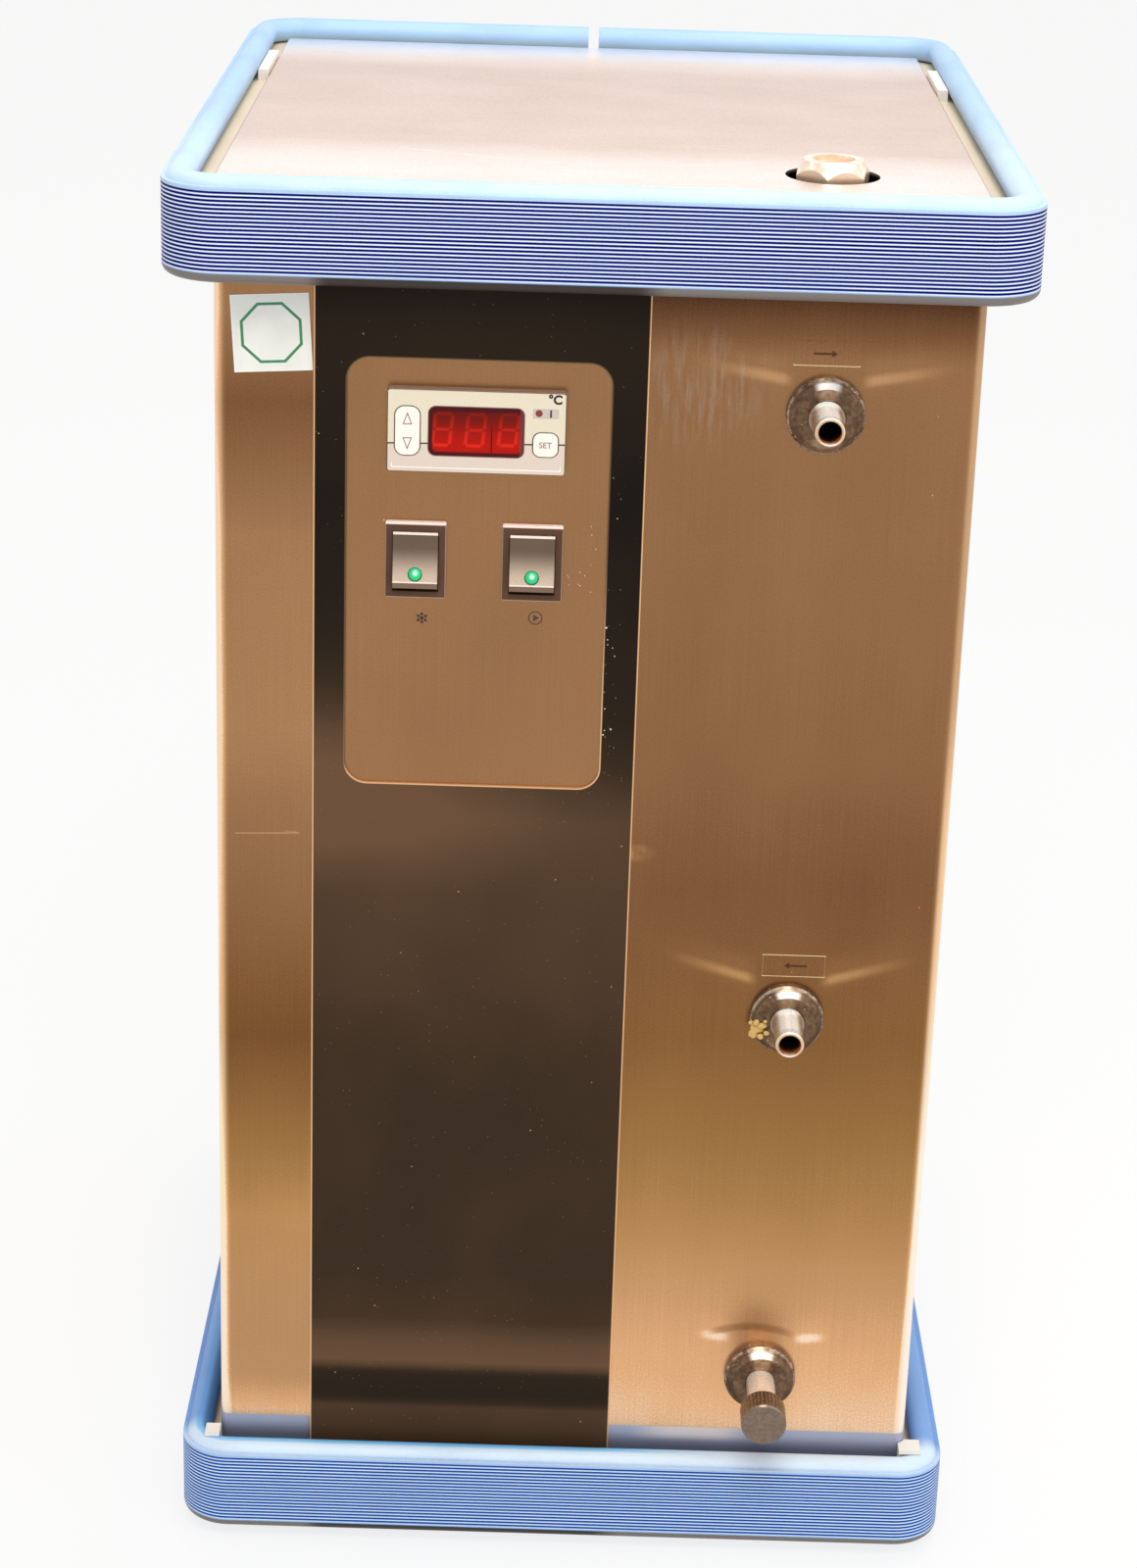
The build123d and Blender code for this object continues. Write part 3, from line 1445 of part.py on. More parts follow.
def fan_motor():
    """Fan motor on three arms whose feet stand on the shroud."""
    back = fan_levels()[0] - fan_motor_gap
    front = back - fan_motor_depth
    motor = rod_y(fan_x, fan_z, front, back, fan_motor_radius)
    motor = fillet(motor.edges().group_by(Axis.Y)[0], fan_arm_thickness)
    half = fan_arm_width / 2
    inner = fan_radius + fan_ring_gap + shroud_sheet + 2 * fit_gap
    for index in range(fan_arm_count):
        arm = block(fan_motor_radius - overrun, fan_arm_reach, back - fan_arm_thickness, back, -half, half)
        arm += block(inner, fan_arm_reach, back - fan_arm_thickness, shroud_front, -half, half)
        motor += Pos(fan_x, 0, fan_z) * Rot(0, -90.0 + 360.0 / fan_arm_count * index, 0) * arm
    socket = back - fan_shaft_socket - fit_gap
    return motor - rod_y(fan_x, fan_z, socket, back + overrun, fan_shaft_radius + running_gap)


def discharge_line():
    """Copper line from the compressor to the top of the condenser."""
    left = shroud_left - condenser_bend_reach
    tail = condenser_y - condenser_tail
    high = condenser_levels()[-1]
    start = discharge_stub_end()
    return pipe([
        (discharge_stub_x, start, discharge_stub_z), (discharge_stub_x, start + discharge_run, discharge_stub_z),
        (left, start + discharge_cross, (discharge_stub_z + high) / 2), (left, tail - discharge_lead, high),
        (left, tail, high)],
        discharge_radius, discharge_bore)


def filter_drier():
    """Copper filter between the condenser and the tank."""
    neck = liquid_radius + drier_neck
    return turned_z(drier_x, drier_y, [
        (0, drier_bottom), (neck, drier_bottom), (drier_radius, drier_bottom + drier_radius),
        (drier_radius, drier_bottom + drier_length - drier_radius),
        (neck, drier_bottom + drier_length), (0, drier_bottom + drier_length)])


def liquid_lines():
    """Thin lines from the condenser to the filter, and from the filter to the evaporator."""
    left = shroud_left - condenser_bend_reach
    tail = condenser_y - condenser_tail
    low = condenser_levels()[0]
    first = pipe(
        [(left, tail, low), (drier_x, drier_y, low), (drier_x, drier_y, drier_bottom)],
        liquid_radius, liquid_bore, [liquid_bend])
    end_x, end_y = coil_ends()[0]
    second = pipe(
        [(drier_x, drier_y, drier_bottom + drier_length), (drier_x, drier_y, line_top), (end_x, end_y, line_top),
         (end_x, end_y, coil_top)],
        liquid_radius, liquid_bore, [liquid_bend, line_top - coil_top - line_bend_ease])
    return [first, second]


def suction_line():
    """Wide line from the evaporator back to the compressor."""
    end_x, end_y = coil_ends()[1]
    bend = line_top - coil_top - line_bend_ease
    return pipe(
        [(end_x, end_y, coil_top), (end_x, end_y, line_top), (suction_stub_x, compressor_y, line_top),
         (suction_stub_x, compressor_y, suction_stub_end())],
        suction_radius, suction_bore, [bend, 2 * bend])


def power_socket():
    """Power socket in the rear panel, with a recess and three flat pins."""
    back = body_depth + socket_flange_depth
    floor = back - socket_recess_depth
    socket = plate_y(
        socket_x, socket_z, socket_flange_width, socket_flange_height, body_depth, back, socket_wall)
    socket += plate_y(
        socket_x, socket_z, socket_body_width, socket_body_height, floor - socket_wall, body_depth,
        socket_body_radius)
    socket -= plate_y(
        socket_x, socket_z, socket_recess_width, socket_recess_height, floor, back + overrun, socket_wall)
    half_w = socket_pin_width / 2
    half_h = socket_pin_height / 2
    for offset_x, offset_z in (
            (-socket_pin_spread, -socket_pin_rise), (0.0, socket_pin_rise),
            (socket_pin_spread, -socket_pin_rise)):
        x = socket_x + offset_x
        z = socket_z + offset_z
        socket += block(x - half_w, x + half_w, floor, floor + socket_pin_length, z - half_h, z + half_h)
    return socket


def pieces():
    """Every node's name with its solid, or with its group of like solids."""
    return {
        "base_tray": base_tray(),
        "rubber_feet": rubber_feet(),
        "casing_shell": casing_shell(),
        "fascia_plate": fascia_plate(),
        "rear_panel": rear_panel(),
        "casing_screws": casing_screws(),
        "lid": lid(),
        "mid_shelf": mid_shelf(),
        "top_bumper_rail": bumper_rail(top_bumper_stand_off, rail_top, top_rail_bottom),
        "bottom_bumper_rail": bumper_rail(bottom_bumper_stand_off, bottom_rail_top, bottom_rail_bottom),
        "top_bumper": bumper(top_bumper_stand_off, top_tube_height),
        "bottom_bumper": bumper(bottom_bumper_stand_off, bottom_tube_height),
        "bumper_blocks": bumper_blocks(),
        "octagon_sticker": octagon_sticker(),
        "controller_housing": controller_housing(),
        "controller_bezel": controller_bezel(),
        "controller_face": controller_face(),
        "display_window": display_window(),
        "level_key": level_key(),
        "set_key": set_key(),
        "cooling_switch_body": switch_body(cooling_switch_x),
        "cooling_switch_rocker": switch_rocker(cooling_switch_x),
        "cooling_switch_lens": switch_lens(cooling_switch_x),
        "pump_switch_body": switch_body(pump_switch_x),
        "pump_switch_rocker": switch_rocker(pump_switch_x),
        "pump_switch_lens": switch_lens(pump_switch_x),
        "inlet_flange": port_flange(inlet_x, inlet_z),
        "outlet_flange": port_flange(outlet_x, outlet_z),
        "drain_flange": drain_flange(),
        "inlet_nipple": hose_nipple(inlet_x, inlet_z),
        "outlet_nipple": hose_nipple(outlet_x, outlet_z),
        "drain_plug": drain_plug(),
        "drain_seal": drain_seal(),
        "port_lock_nuts": port_lock_nuts(),
        "tank": tank(),
        "tank_cover": tank_cover(),
        "filler_seal": filler_seal(),
        "filler_cap": filler_cap(),
        "temperature_probe": temperature_probe(),
        "pump_housing": pump_housing(),
        "pump_impeller": pump_impeller(),
        "pump_motor": pump_motor(),
        "suction_hose": hose(suction_route()),
        "supply_hose": hose(supply_route()),
        "return_hose": return_hose(),
        "drain_hose": hose(drain_route()),
        "hose_clamps": hose_clamps(),
        "evaporator_coil": evaporator_coil(),
        "compressor": compressor(),
        "compressor_mounts": compressor_mounts(),
        "condenser_coil": condenser_coil(),
        "condenser_fins": condenser_fins(),
        "fan_shroud": fan_shroud(),
        "fan_motor": fan_motor(),
        "fan_blades": fan_blades(),
        "filter_drier": filter_drier(),
        "liquid_lines": liquid_lines(),
        "suction_line": suction_line(),
        "discharge_line": discharge_line(),
        "power_socket": power_socket(),
    }


def write_pieces():
    """Centre every piece on the floor and write one file for each node."""
    os.makedirs("parts", exist_ok=True)
    centred = Pos(0, -centre_y, 0)
    for name, shape in pieces().items():
        solids = shape if isinstance(shape, list) else [shape]
        placed = [centred * solid for solid in solids]
        export_step(placed[0] if len(placed) == 1 else Compound(children=placed), f"parts/{name}.step")


write_pieces()
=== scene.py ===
"""Looks of the recirculating chiller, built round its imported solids.

Sizes in the classes are millimetres in the drawing frame: the front sheet's face is at y = 0, the middle of the
casing at x = 0 and the floor at z = 0. The scene itself is in metres, with the whole chiller centred on y = 0.
"""

import logging
import math
from dataclasses import dataclass, field
from enum import Enum
from typing import Optional, Sequence, Union

import bpy
from mathutils import Matrix, Vector


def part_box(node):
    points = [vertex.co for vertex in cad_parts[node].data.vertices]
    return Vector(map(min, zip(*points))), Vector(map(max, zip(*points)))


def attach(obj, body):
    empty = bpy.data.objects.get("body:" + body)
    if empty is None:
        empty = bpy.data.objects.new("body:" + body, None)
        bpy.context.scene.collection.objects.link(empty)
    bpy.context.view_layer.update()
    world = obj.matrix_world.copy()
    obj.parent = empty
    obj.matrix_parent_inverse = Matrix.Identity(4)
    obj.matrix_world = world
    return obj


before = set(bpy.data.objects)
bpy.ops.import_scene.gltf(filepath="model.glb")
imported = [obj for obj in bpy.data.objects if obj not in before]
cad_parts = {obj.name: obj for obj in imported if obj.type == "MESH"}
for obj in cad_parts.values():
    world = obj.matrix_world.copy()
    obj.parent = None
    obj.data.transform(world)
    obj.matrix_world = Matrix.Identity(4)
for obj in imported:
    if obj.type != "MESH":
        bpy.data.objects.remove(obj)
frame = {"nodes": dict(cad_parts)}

LOG = logging.getLogger("chiller")
FRONT_OFFSET = 193.0
MM = 0.001

Tone = tuple[float, float, float, float]
Number = Union["Value", float]
Link = Union["Value", "bpy.types.NodeSocket", float, Tone, tuple[float, float, float]]


def tone(red: float, green: float, blue: float) -> Tone:
    """Linear colour of one written as 0 to 255.

    Args:
        red, green, blue: Display levels from 0 to 255.

    Returns:
        The linear colour with full alpha.
    """
    levels = [level / 255 for level in (red, green, blue)]
    linear = [share / 12.92 if share <= 0.04045 else ((share + 0.055) / 1.055) ** 2.4 for share in levels]
    return (linear[0], linear[1], linear[2], 1.0)


def grey(level: float) -> Tone:
    """Grey of a plain number, for ramps that give numbers."""
    return (level, level, level, 1.0)


def spot(x: float, y: float, z: float) -> Vector:
    """Scene place in metres of a drawing place in millimetres."""
    return Vector((x, y - FRONT_OFFSET, z)) * MM


class Value:
    """Number that a socket gives. Arithmetic on it adds Math nodes."""

    def __init__(self, shader: "Shader", socket: bpy.types.NodeSocket) -> None:
        self.shader = shader
        self.socket = socket

    def math(self, operation: str, *numbers: Number) -> "Value":
        """Value of a Math node.

        Args:
            operation: The node's operation.
            numbers: Its inputs in order.

        Returns:
            The result.
        """
        inputs = dict(enumerate(numbers))
        made = self.shader.node("ShaderNodeMath", {"operation": operation}, inputs)
        return Value(self.shader, made.outputs[0])

    def __add__(self, other: Number) -> "Value":
        return self.math("ADD", self, other)

    def __radd__(self, other: Number) -> "Value":
        return self.math("ADD", other, self)

    def __sub__(self, other: Number) -> "Value":
        return self.math("SUBTRACT", self, other)

    def __rsub__(self, other: Number) -> "Value":
        return self.math("SUBTRACT", other, self)

    def __mul__(self, other: Number) -> "Value":
        return self.math("MULTIPLY", self, other)

    def __rmul__(self, other: Number) -> "Value":
        return self.math("MULTIPLY", other, self)

    def __truediv__(self, other: Number) -> "Value":
        return self.math("DIVIDE", self, other)

    def __abs__(self) -> "Value":
        return self.math("ABSOLUTE", self)

    def least(self, other: Number) -> "Value":
        """The smaller of the two."""
        return self.math("MINIMUM", self, other)

    def most(self, other: Number) -> "Value":
        """The larger of the two."""
        return self.math("MAXIMUM", self, other)

    def root(self) -> "Value":
        """Square root."""
        return self.math("SQRT", self)

    def repeat(self, pitch: float) -> "Value":
        """Distance from the nearest multiple of a pitch, with its sign."""
        return self.math("WRAP", self, pitch / 2, -pitch / 2)

    def ramp(self, low: float, high: float) -> "Value":
        """Smooth step from 0 at low to 1 at high.

        Args:
            low: Value where the step starts.
            high: Value where it ends. It may be below low.

        Returns:
            The step, held between 0 and 1.
        """
        made = self.shader.node(
            "ShaderNodeMapRange", {"interpolation_type": "SMOOTHSTEP"},
            {"Value": self, "From Min": min(low, high), "From Max": max(low, high)})
        step = Value(self.shader, made.outputs["Result"])
        return 1 - step if high < low else step

    def ink(self, edge: float = 0.12) -> "Value":
        """Mask of a distance: 1 inside the shape, 0 outside.

        Args:
            edge: Half the width of the mask's soft edge.

        Returns:
            The mask.
        """
        return self.ramp(edge, -edge)

    def stops(self, low: float, high: float, stops: Sequence[tuple[float, float]]) -> "Value":
        """Number that follows a row of stops.

        Args:
            low: Value of the stops' place 0.
            high: Value of the stops' place 1.
            stops: Place from low to high, in this value's units, and the number there.

        Returns:
            The number.
        """
        share = (self - low) / (high - low)
        scaled = [((place - low) / (high - low), grey(number)) for place, number in stops]
        made = self.shader.node("ShaderNodeValToRGB", {"stops": scaled}, {"Fac": share})
        return Value(self.shader, made.outputs["Color"])


def disc(across: Value, up: Value, radius: float) -> Value:
    """Distance from the edge of a disc whose middle is at 0, 0."""
    return (across * across + up * up).root() - radius


def panel(across: Value, up: Value, width: float, height: float, radius: float) -> Value:
    """Distance from the edge of a rounded rectangle.

    Args:
        across, up: Place, measured from the rectangle's middle.
        width, height: Its sides.
        radius: Radius of its corners.

    Returns:
        The distance, negative inside.
    """
    beside = abs(across) - (width / 2 - radius)
    above = abs(up) - (height / 2 - radius)
    return disc(beside.most(0), above.most(0), radius) + beside.most(above).least(0)


def stroke(across: Value, up: Value, start: tuple[float, float], end: tuple[float, float], width: float) -> Value:
    """Distance from the edge of a straight pen stroke.

    Args:
        across, up: Place.
        start, end: The stroke's ends.
        width: Its width.

    Returns:
        The distance, negative inside.
    """
    run = (end[0] - start[0], end[1] - start[1])
    squared = run[0] ** 2 + run[1] ** 2
    share = (((across - start[0]) * run[0] + (up - start[1]) * run[1]) / squared).most(0).least(1)
    return disc(across - start[0] - share * run[0], up - start[1] - share * run[1], width / 2)


def outline(distance: Value, width: float) -> Value:
    """Distance from a line that follows a shape's edge."""
    return abs(distance) - width / 2


class Shader:
    """Node tree of one finish. It gives a surface's place as x, y and z in millimetres."""

    def __init__(self, name: str) -> None:
        self.material = bpy.data.materials.new(name)
        self.material.use_nodes = True
        self.tree = self.material.node_tree
        self.tree.nodes.clear()
        self.surface = self.node("ShaderNodeBsdfPrincipled")
        self.node("ShaderNodeOutputMaterial", sockets={"Surface": self.surface.outputs["BSDF"]})
        coordinates = self.node("ShaderNodeTexCoord")
        scaled = self.node("ShaderNodeMapping", sockets={
            "Vector": coordinates.outputs["Object"], "Location": (0.0, FRONT_OFFSET, 0.0), "Scale": (1 / MM,) * 3})
        self.place = scaled.outputs["Vector"]
        parts = self.node("ShaderNodeSeparateXYZ", sockets={"Vector": self.place})
        self.x, self.y, self.z = (Value(self, parts.outputs[axis]) for axis in "XYZ")

    def node(
            self, kind: str, settings: Optional[dict] = None,
            sockets: Optional[dict[Union[str, int], Link]] = None) -> bpy.types.Node:
        """Node with its settings and sockets.

        Args:
            kind: The node's type.
            settings: Its settings, set first. "stops" are a ramp's places and colours.
            sockets: Value or link of each socket, by name or number.

        Returns:
            The node.
        """
        made = self.tree.nodes.new(kind)
        for name, setting in (settings or {}).items():
            if name != "stops":
                setattr(made, name, setting)
                continue
            elements = made.color_ramp.elements
            for index, (place, colour) in enumerate(setting):
                stop = elements[index] if index < 2 else elements.new(place)
                stop.position = place
                stop.color = colour
        for name, value in (sockets or {}).items():
            link = value.socket if isinstance(value, Value) else value
            if isinstance(link, bpy.types.NodeSocket):
                self.tree.links.new(link, made.inputs[name])
            else:
                made.inputs[name].default_value = link
        return made

    def mix(self, first: Link, second: Link, factor: Number, blend: str = "MIX") -> bpy.types.NodeSocket:
        """Colour between two colours.

        Args:
            first, second: The colours.
            factor: Share of the second, from 0 to 1.
            blend: How the second goes over the first.

        Returns:
            The colour's socket.
        """
        made = self.node(
            "ShaderNodeMix", {"data_type": "RGBA", "blend_type": blend}, {0: factor, 6: first, 7: second})
        return made.outputs[2]

    def tones(self, share: Number, stops: Sequence[tuple[float, Tone]]) -> bpy.types.NodeSocket:
        """Colour that follows a row of stops from 0 to 1."""
        return self.node("ShaderNodeValToRGB", {"stops": list(stops)}, {"Fac": share}).outputs["Color"]

    def noise(self, size: Sequence[float], detail: float = 2.0, roughness: float = 0.5) -> Value:
        """Cloudy pattern between 0 and 1.

        Args:
            size: Length of its features on each axis, in millimetres.
            detail: Number of finer layers.
            roughness: Weight of the finer layers.

        Returns:
            The pattern.
        """
        scale = tuple(1 / length for length in size)
        stretched = self.node("ShaderNodeMapping", sockets={"Vector": self.place, "Scale": scale})
        made = self.node("ShaderNodeTexNoise", sockets={
            "Vector": stretched.outputs["Vector"], "Scale": 1.0, "Detail": detail, "Roughness": roughness})
        return Value(self, made.outputs[0])

    def specks(self, pitch: float, radius: float, share: float) -> Value:
        """Scattered round specks.

        Args:
            pitch: Mean distance of the places where one may lie.
            radius: Radius of a speck.
            share: Share of those places that hold one.

        Returns:
            Mask of the specks.
        """
        cells = self.node("ShaderNodeTexVoronoi", sockets={"Vector": self.place, "Scale": 1 / pitch})
        chance = self.node("ShaderNodeSeparateColor", sockets={"Color": cells.outputs["Color"]})
        near = (Value(self, cells.outputs["Distance"]) * pitch).ramp(radius, radius / 2)
        return near * Value(self, chance.outputs["Red"]).ramp(1 - share, 1 - share + 0.02)

    def relief(self, height: Value, depth: float, strength: float = 1.0) -> None:
        """Bump of the surface.

        Args:
            height: Height from 0 to 1.
            depth: Millimetres that 1 stands for.
            strength: Share of the bump.
        """
        bump = self.node("ShaderNodeBump", sockets={"Strength": strength, "Distance": depth * MM, "Height": height})
        self.tree.links.new(bump.outputs["Normal"], self.surface.inputs["Normal"])

    def finish(self, **sockets: Link) -> bpy.types.Material:
        """Sets the surface's own sockets and gives the material.

        Args:
            sockets: Value or link of each socket, with _ for a space in its name.

        Returns:
            The material.
        """
        for name, value in sockets.items():
            socket = self.surface.inputs[name.replace("_", " ")]
            link = value.socket if isinstance(value, Value) else value
            if isinstance(link, bpy.types.NodeSocket):
                self.tree.links.new(link, socket)
            else:
                socket.default_value = link
        return self.material


class Grain(Enum):
    """Length of a brushed sheet's streaks on each axis, in millimetres."""

    UPRIGHT = (0.5, 0.5, 80.0)
    ACROSS = (90.0, 0.6, 0.6)
    ROUND = (1.2, 1.2, 1.2)


def dress(nodes: Sequence[str], material: bpy.types.Material) -> None:
    """Gives CAD nodes a material.

    Args:
        nodes: Names of the nodes.
        material: Their material.
    """
    for name in nodes:
        piece = frame["nodes"][name]
        if not piece.material_slots:
            piece.data.materials.append(material)
        for place in piece.material_slots:
            place.material = material
        LOG.info("%s dressed with %s", name, material.name)


@dataclass(frozen=True)
class SheetFinish:
    """Brushed or rolled sheet metal.

    Attributes:
        name: Name of the finish.
        low, high: Colours of its dark and its bright streaks.
        roughness: Mean roughness.
        grain: Way of its streaks.
        contrast: Strength of the streaks.
        cloud: Size of its slow changes.
        metallic: Share of metal in its shine.
    """

    name: str
    low: Tone
    high: Tone
    roughness: float = 0.34
    grain: Grain = Grain.UPRIGHT
    contrast: float = 0.6
    cloud: float = 60.0
    metallic: float = 1.0

    def material(self) -> bpy.types.Material:
        """Material of the finish."""
        shader = Shader(self.name)
        streaks = shader.noise(self.grain.value, 3.0)
        clouds = shader.noise((self.cloud,) * 3, 2.0)
        share = (streaks - 0.5) * self.contrast + (clouds - 0.5) * 0.8 + 0.5
        shader.relief(streaks, 0.004)
        return shader.finish(
            Base_Color=shader.mix(self.low, self.high, share.most(0).least(1)), Metallic=self.metallic,
            Roughness=self.roughness + (streaks - 0.5) * 0.12)


@dataclass(frozen=True)
class MouldedFinish:
    """Moulded plastic, rubber, paper or paint.

    Attributes:
        name: Name of the finish.
        colour: Its colour.
        roughness: Mean roughness.
        pores: Size of its fine texture.
        depth: Depth of that texture.
        mottle: Strength of its slow changes.
        dust: Share of the places that hold a light speck.
    """

    name: str
    colour: Tone
    roughness: float = 0.5
    pores: float = 0.6
    depth: float = 0.02
    mottle: float = 0.25
    dust: float = 0.0
    dust_tone: Tone = tone(190, 175, 155)

    def shader(self) -> tuple[Shader, bpy.types.NodeSocket, Value]:
        """Node tree with the finish's colour and fine texture.

        Returns:
            The tree, the colour's socket and the fine texture.
        """
        shader = Shader(self.name)
        pores = shader.noise((self.pores,) * 3, 3.0)
        clouds = shader.noise((25.0, 25.0, 25.0), 3.0)
        shade = tuple(channel * (1 - self.mottle) for channel in self.colour[:3]) + (1.0,)
        lit = tuple(min(1.0, channel * (1 + self.mottle)) for channel in self.colour[:3]) + (1.0,)
        colour = shader.mix(shade, lit, ((clouds - 0.5) * 1.6 + (pores - 0.5) * 0.6 + 0.5).most(0).least(1))
        if self.dust:
            colour = shader.mix(colour, self.dust_tone, shader.specks(2.6, 0.22, self.dust))
        shader.relief(pores, self.depth)
        return shader, colour, pores

    def material(self) -> bpy.types.Material:
        """Material of the finish."""
        shader, colour, pores = self.shader()
        return shader.finish(Base_Color=colour, Roughness=self.roughness + (pores - 0.5) * 0.2)


@dataclass(frozen=True)
class TurnedFinish:
    """Turned, drawn or cast metal.

    Attributes:
        name: Name of the finish.
        low, high: Its dark and its bright colour.
        roughness: Mean roughness.
        grain: Size of its tool marks on each axis.
        tarnish: Strength of its stains.
    """

    name: str
    low: Tone
    high: Tone
    roughness: float = 0.25
    grain: tuple[float, float, float] = (4.0, 0.35, 4.0)
    tarnish: float = 0.5

    def material(self) -> bpy.types.Material:
        """Material of the finish."""
        shader = Shader(self.name)
        marks = shader.noise(self.grain, 2.0)
        stains = shader.noise((7.0, 7.0, 7.0), 4.0, 0.6)
        share = (marks - 0.5) * 0.5 + (stains - 0.5) * 2 * self.tarnish + 0.55
        shader.relief(marks, 0.01)
        return shader.finish(
            Base_Color=shader.mix(self.low, self.high, share.most(0).least(1)), Metallic=1.0,
            Roughness=self.roughness + (0.5 - stains) * 0.2)


# Steel colours from the darkest painted shade to the brightest painted reflection.
STEEL_TONES = (
    (0.0, tone(84, 54, 36)), (0.25, tone(128, 88, 58)), (0.5, tone(162, 120, 82)), (0.75, tone(200, 152, 108)),
    (0.89, tone(230, 176, 127)), (1.0, tone(250, 222, 192)))


@dataclass
class CasingLook:
    """Upright steel sheets: front, sides and rear."""

    half_width: float = 165.0
    fascia_left: float = -121.8
    fascia_right: float = 22.1
    window_middle: tuple[float, float] = (-50.55, 484.1)
    window_size: tuple[float, float] = (113.9, 194.6)
    port_places: tuple[tuple[float, float], ...] = ((98.5, 562.0), (96.5, 277.0), (93.5, 88.6))
    # Painted reflection and shade up the sheet, left and right of the fascia: dark under the top bumper, brighter
    # towards the floor.
    left_painted_light: tuple[tuple[float, float], ...] = (
        (50, 0.9), (62, 0.9), (80, 0.68), (100, 0.66), (165, 0.68), (215, 0.42), (260, 0.2), (320, 0.36),
        (410, 0.57), (500, 0.54), (560, 0.26), (600, 0.5), (650, 0.45))
    right_painted_light: tuple[tuple[float, float], ...] = (
        (45, 0.95), (100, 0.86), (150, 0.7), (215, 0.46), (265, 0.3), (340, 0.26), (400, 0.36), (500, 0.43),
        (585, 0.42), (612, 0.0), (650, 0.0))
    bumper_reflection_top: float = 58.3

    def level(self, shader: Shader) -> Value:
        """Painted light of the steel, from 0 to 1, without its grain.

        Args:
            shader: The finish's node tree.

        Returns:
            The brightness.
        """
        x, z = shader.x, shader.z
        left = z.stops(0, 650, self.left_painted_light)
        right = z.stops(0, 650, self.right_painted_light)
        beside = x.ramp(self.fascia_left - 1, self.fascia_left + 1)
        level = left + (right - left) * beside
        window = panel(x - self.window_middle[0], z - self.window_middle[1], *self.window_size, 1.0).ink(1.0)
        level = level + (0.47 - level) * window
        # Painted highlight along the rounded upright edges, weaker high up on the right edge.
        edge = (self.half_width - abs(x)).ramp(6.0, 0.0)
        high = z.ramp(340, 480) * x.ramp(0, 10)
        level = level + edge * (0.72 - high * 0.5)
        return level + self.painted_dent_reflections(shader) + self.smudges(shader)

    def painted_dent_reflections(self, shader: Shader) -> Value:
        """Painted highlight lines where the sheet is drawn in round the ports, and a painted dark line above the drain.
        """
        x, z = shader.x, shader.z
        total: Number = 0.0
        for (port_x, port_z), rise, slope, reach, strength in zip(
                self.port_places, (12.0, 13.8, 18.6), (0.17, 0.29, 0.09), (60.0, 62.0, 34.0), (0.24, 0.3, 0.17)):
            # Painted highlight: a curved bright line above each port, fading to the sides.
            aside = abs(x - port_x)
            line = z - port_z - rise - aside * slope
            core_highlight = abs(line).ramp(4.0, 0.4) + abs(line - 3).ramp(12.0, 2.0) * 0.2
            fade = aside.ramp(reach, 22.0) * aside.ramp(13.0, 20.0)
            total = total + core_highlight * fade * strength
        # Painted shade: a curved dark line in the hollow above the drain.
        drain_x, drain_z = self.port_places[2]
        dent_shade_line = abs(z - drain_z - 26 + (x - drain_x + 5) * (x - drain_x + 5) * 0.01).ramp(3.0, 0.5)
        total = total - dent_shade_line * abs(x - drain_x + 5).ramp(22.0, 14.0) * 0.22
        return total * x.ramp(self.fascia_right, self.fascia_right + 6) * (1 - shader.y.ramp(1.0, 3.0))

    def smudges(self, shader: Shader) -> Value:
        """Wiped patches, fine scratches and specks."""
        x, z = shader.x, shader.z
        cloud = shader.noise((26.0, 26.0, 40.0), 4.0, 0.6)
        wide = shader.noise((70.0, 70.0, 110.0), 3.0)
        scratch = stroke(x, z, (-156.5, 359.7), (-127.8, 360.7), 0.5).ink(0.3) * 0.3
        scratch = scratch + stroke(x, z, (-134.0, 361.4), (-129.0, 361.2), 0.7).ink(0.4) * 0.15
        smudge = disc(x - 26, (z - 356) * 1.6, 5.0).ramp(4.0, -2.0) * cloud.ramp(0.4, 0.6) * 0.35
        fibre = shader.noise((1.1, 1.1, 26.0), 2.0).ramp(0.72, 0.86) * wide.ramp(0.5, 0.65) * 0.15
        grit = shader.specks(7.0, 0.45, 0.05) * 0.5
        return (wide - 0.5) * 0.16 + scratch + smudge + fibre + grit

    def haze(self, shader: Shader) -> Value:
        """Wiped greyish patch left of the upper port.

        Args:
            shader: The finish's node tree.

        Returns:
            Its mask.
        """
        wipes = shader.noise((3.0, 3.0, 24.0), 4.0, 0.65)
        around = disc((shader.x - 42) * 0.8, shader.z - 572, 4.0).ramp(32.0, 0.0)
        return around * wipes.ramp(0.42, 0.7) * 0.3 * (1 - shader.y.ramp(1.0, 3.0))

    def shader(self, name: str) -> tuple[Shader, bpy.types.NodeSocket, Value]:
        """Node tree of the steel.

        Args:
            name: Name of the finish.

        Returns:
            The tree, its colour and its streaks.
        """
        shader = Shader(name)
        streaks = shader.noise(Grain.UPRIGHT.value, 3.0, 0.6)
        fine = shader.noise((0.55, 0.55, 0.9), 2.0)
        level = self.level(shader) + (streaks - 0.5) * 0.12 + (fine - 0.5) * 0.24
        shader.relief(streaks, 0.003)
        x, z = shader.x, shader.z
        # Painted reflection tint: yellower between 110 and 340 mm high.
        gold = z.ramp(110, 190) * z.ramp(340, 260)
        colour = shader.mix(shader.tones(level, STEEL_TONES), (1.0, 0.99, 0.74, 1.0), gold, "MULTIPLY")
        colour = shader.mix(colour, tone(190, 176, 160), self.haze(shader))
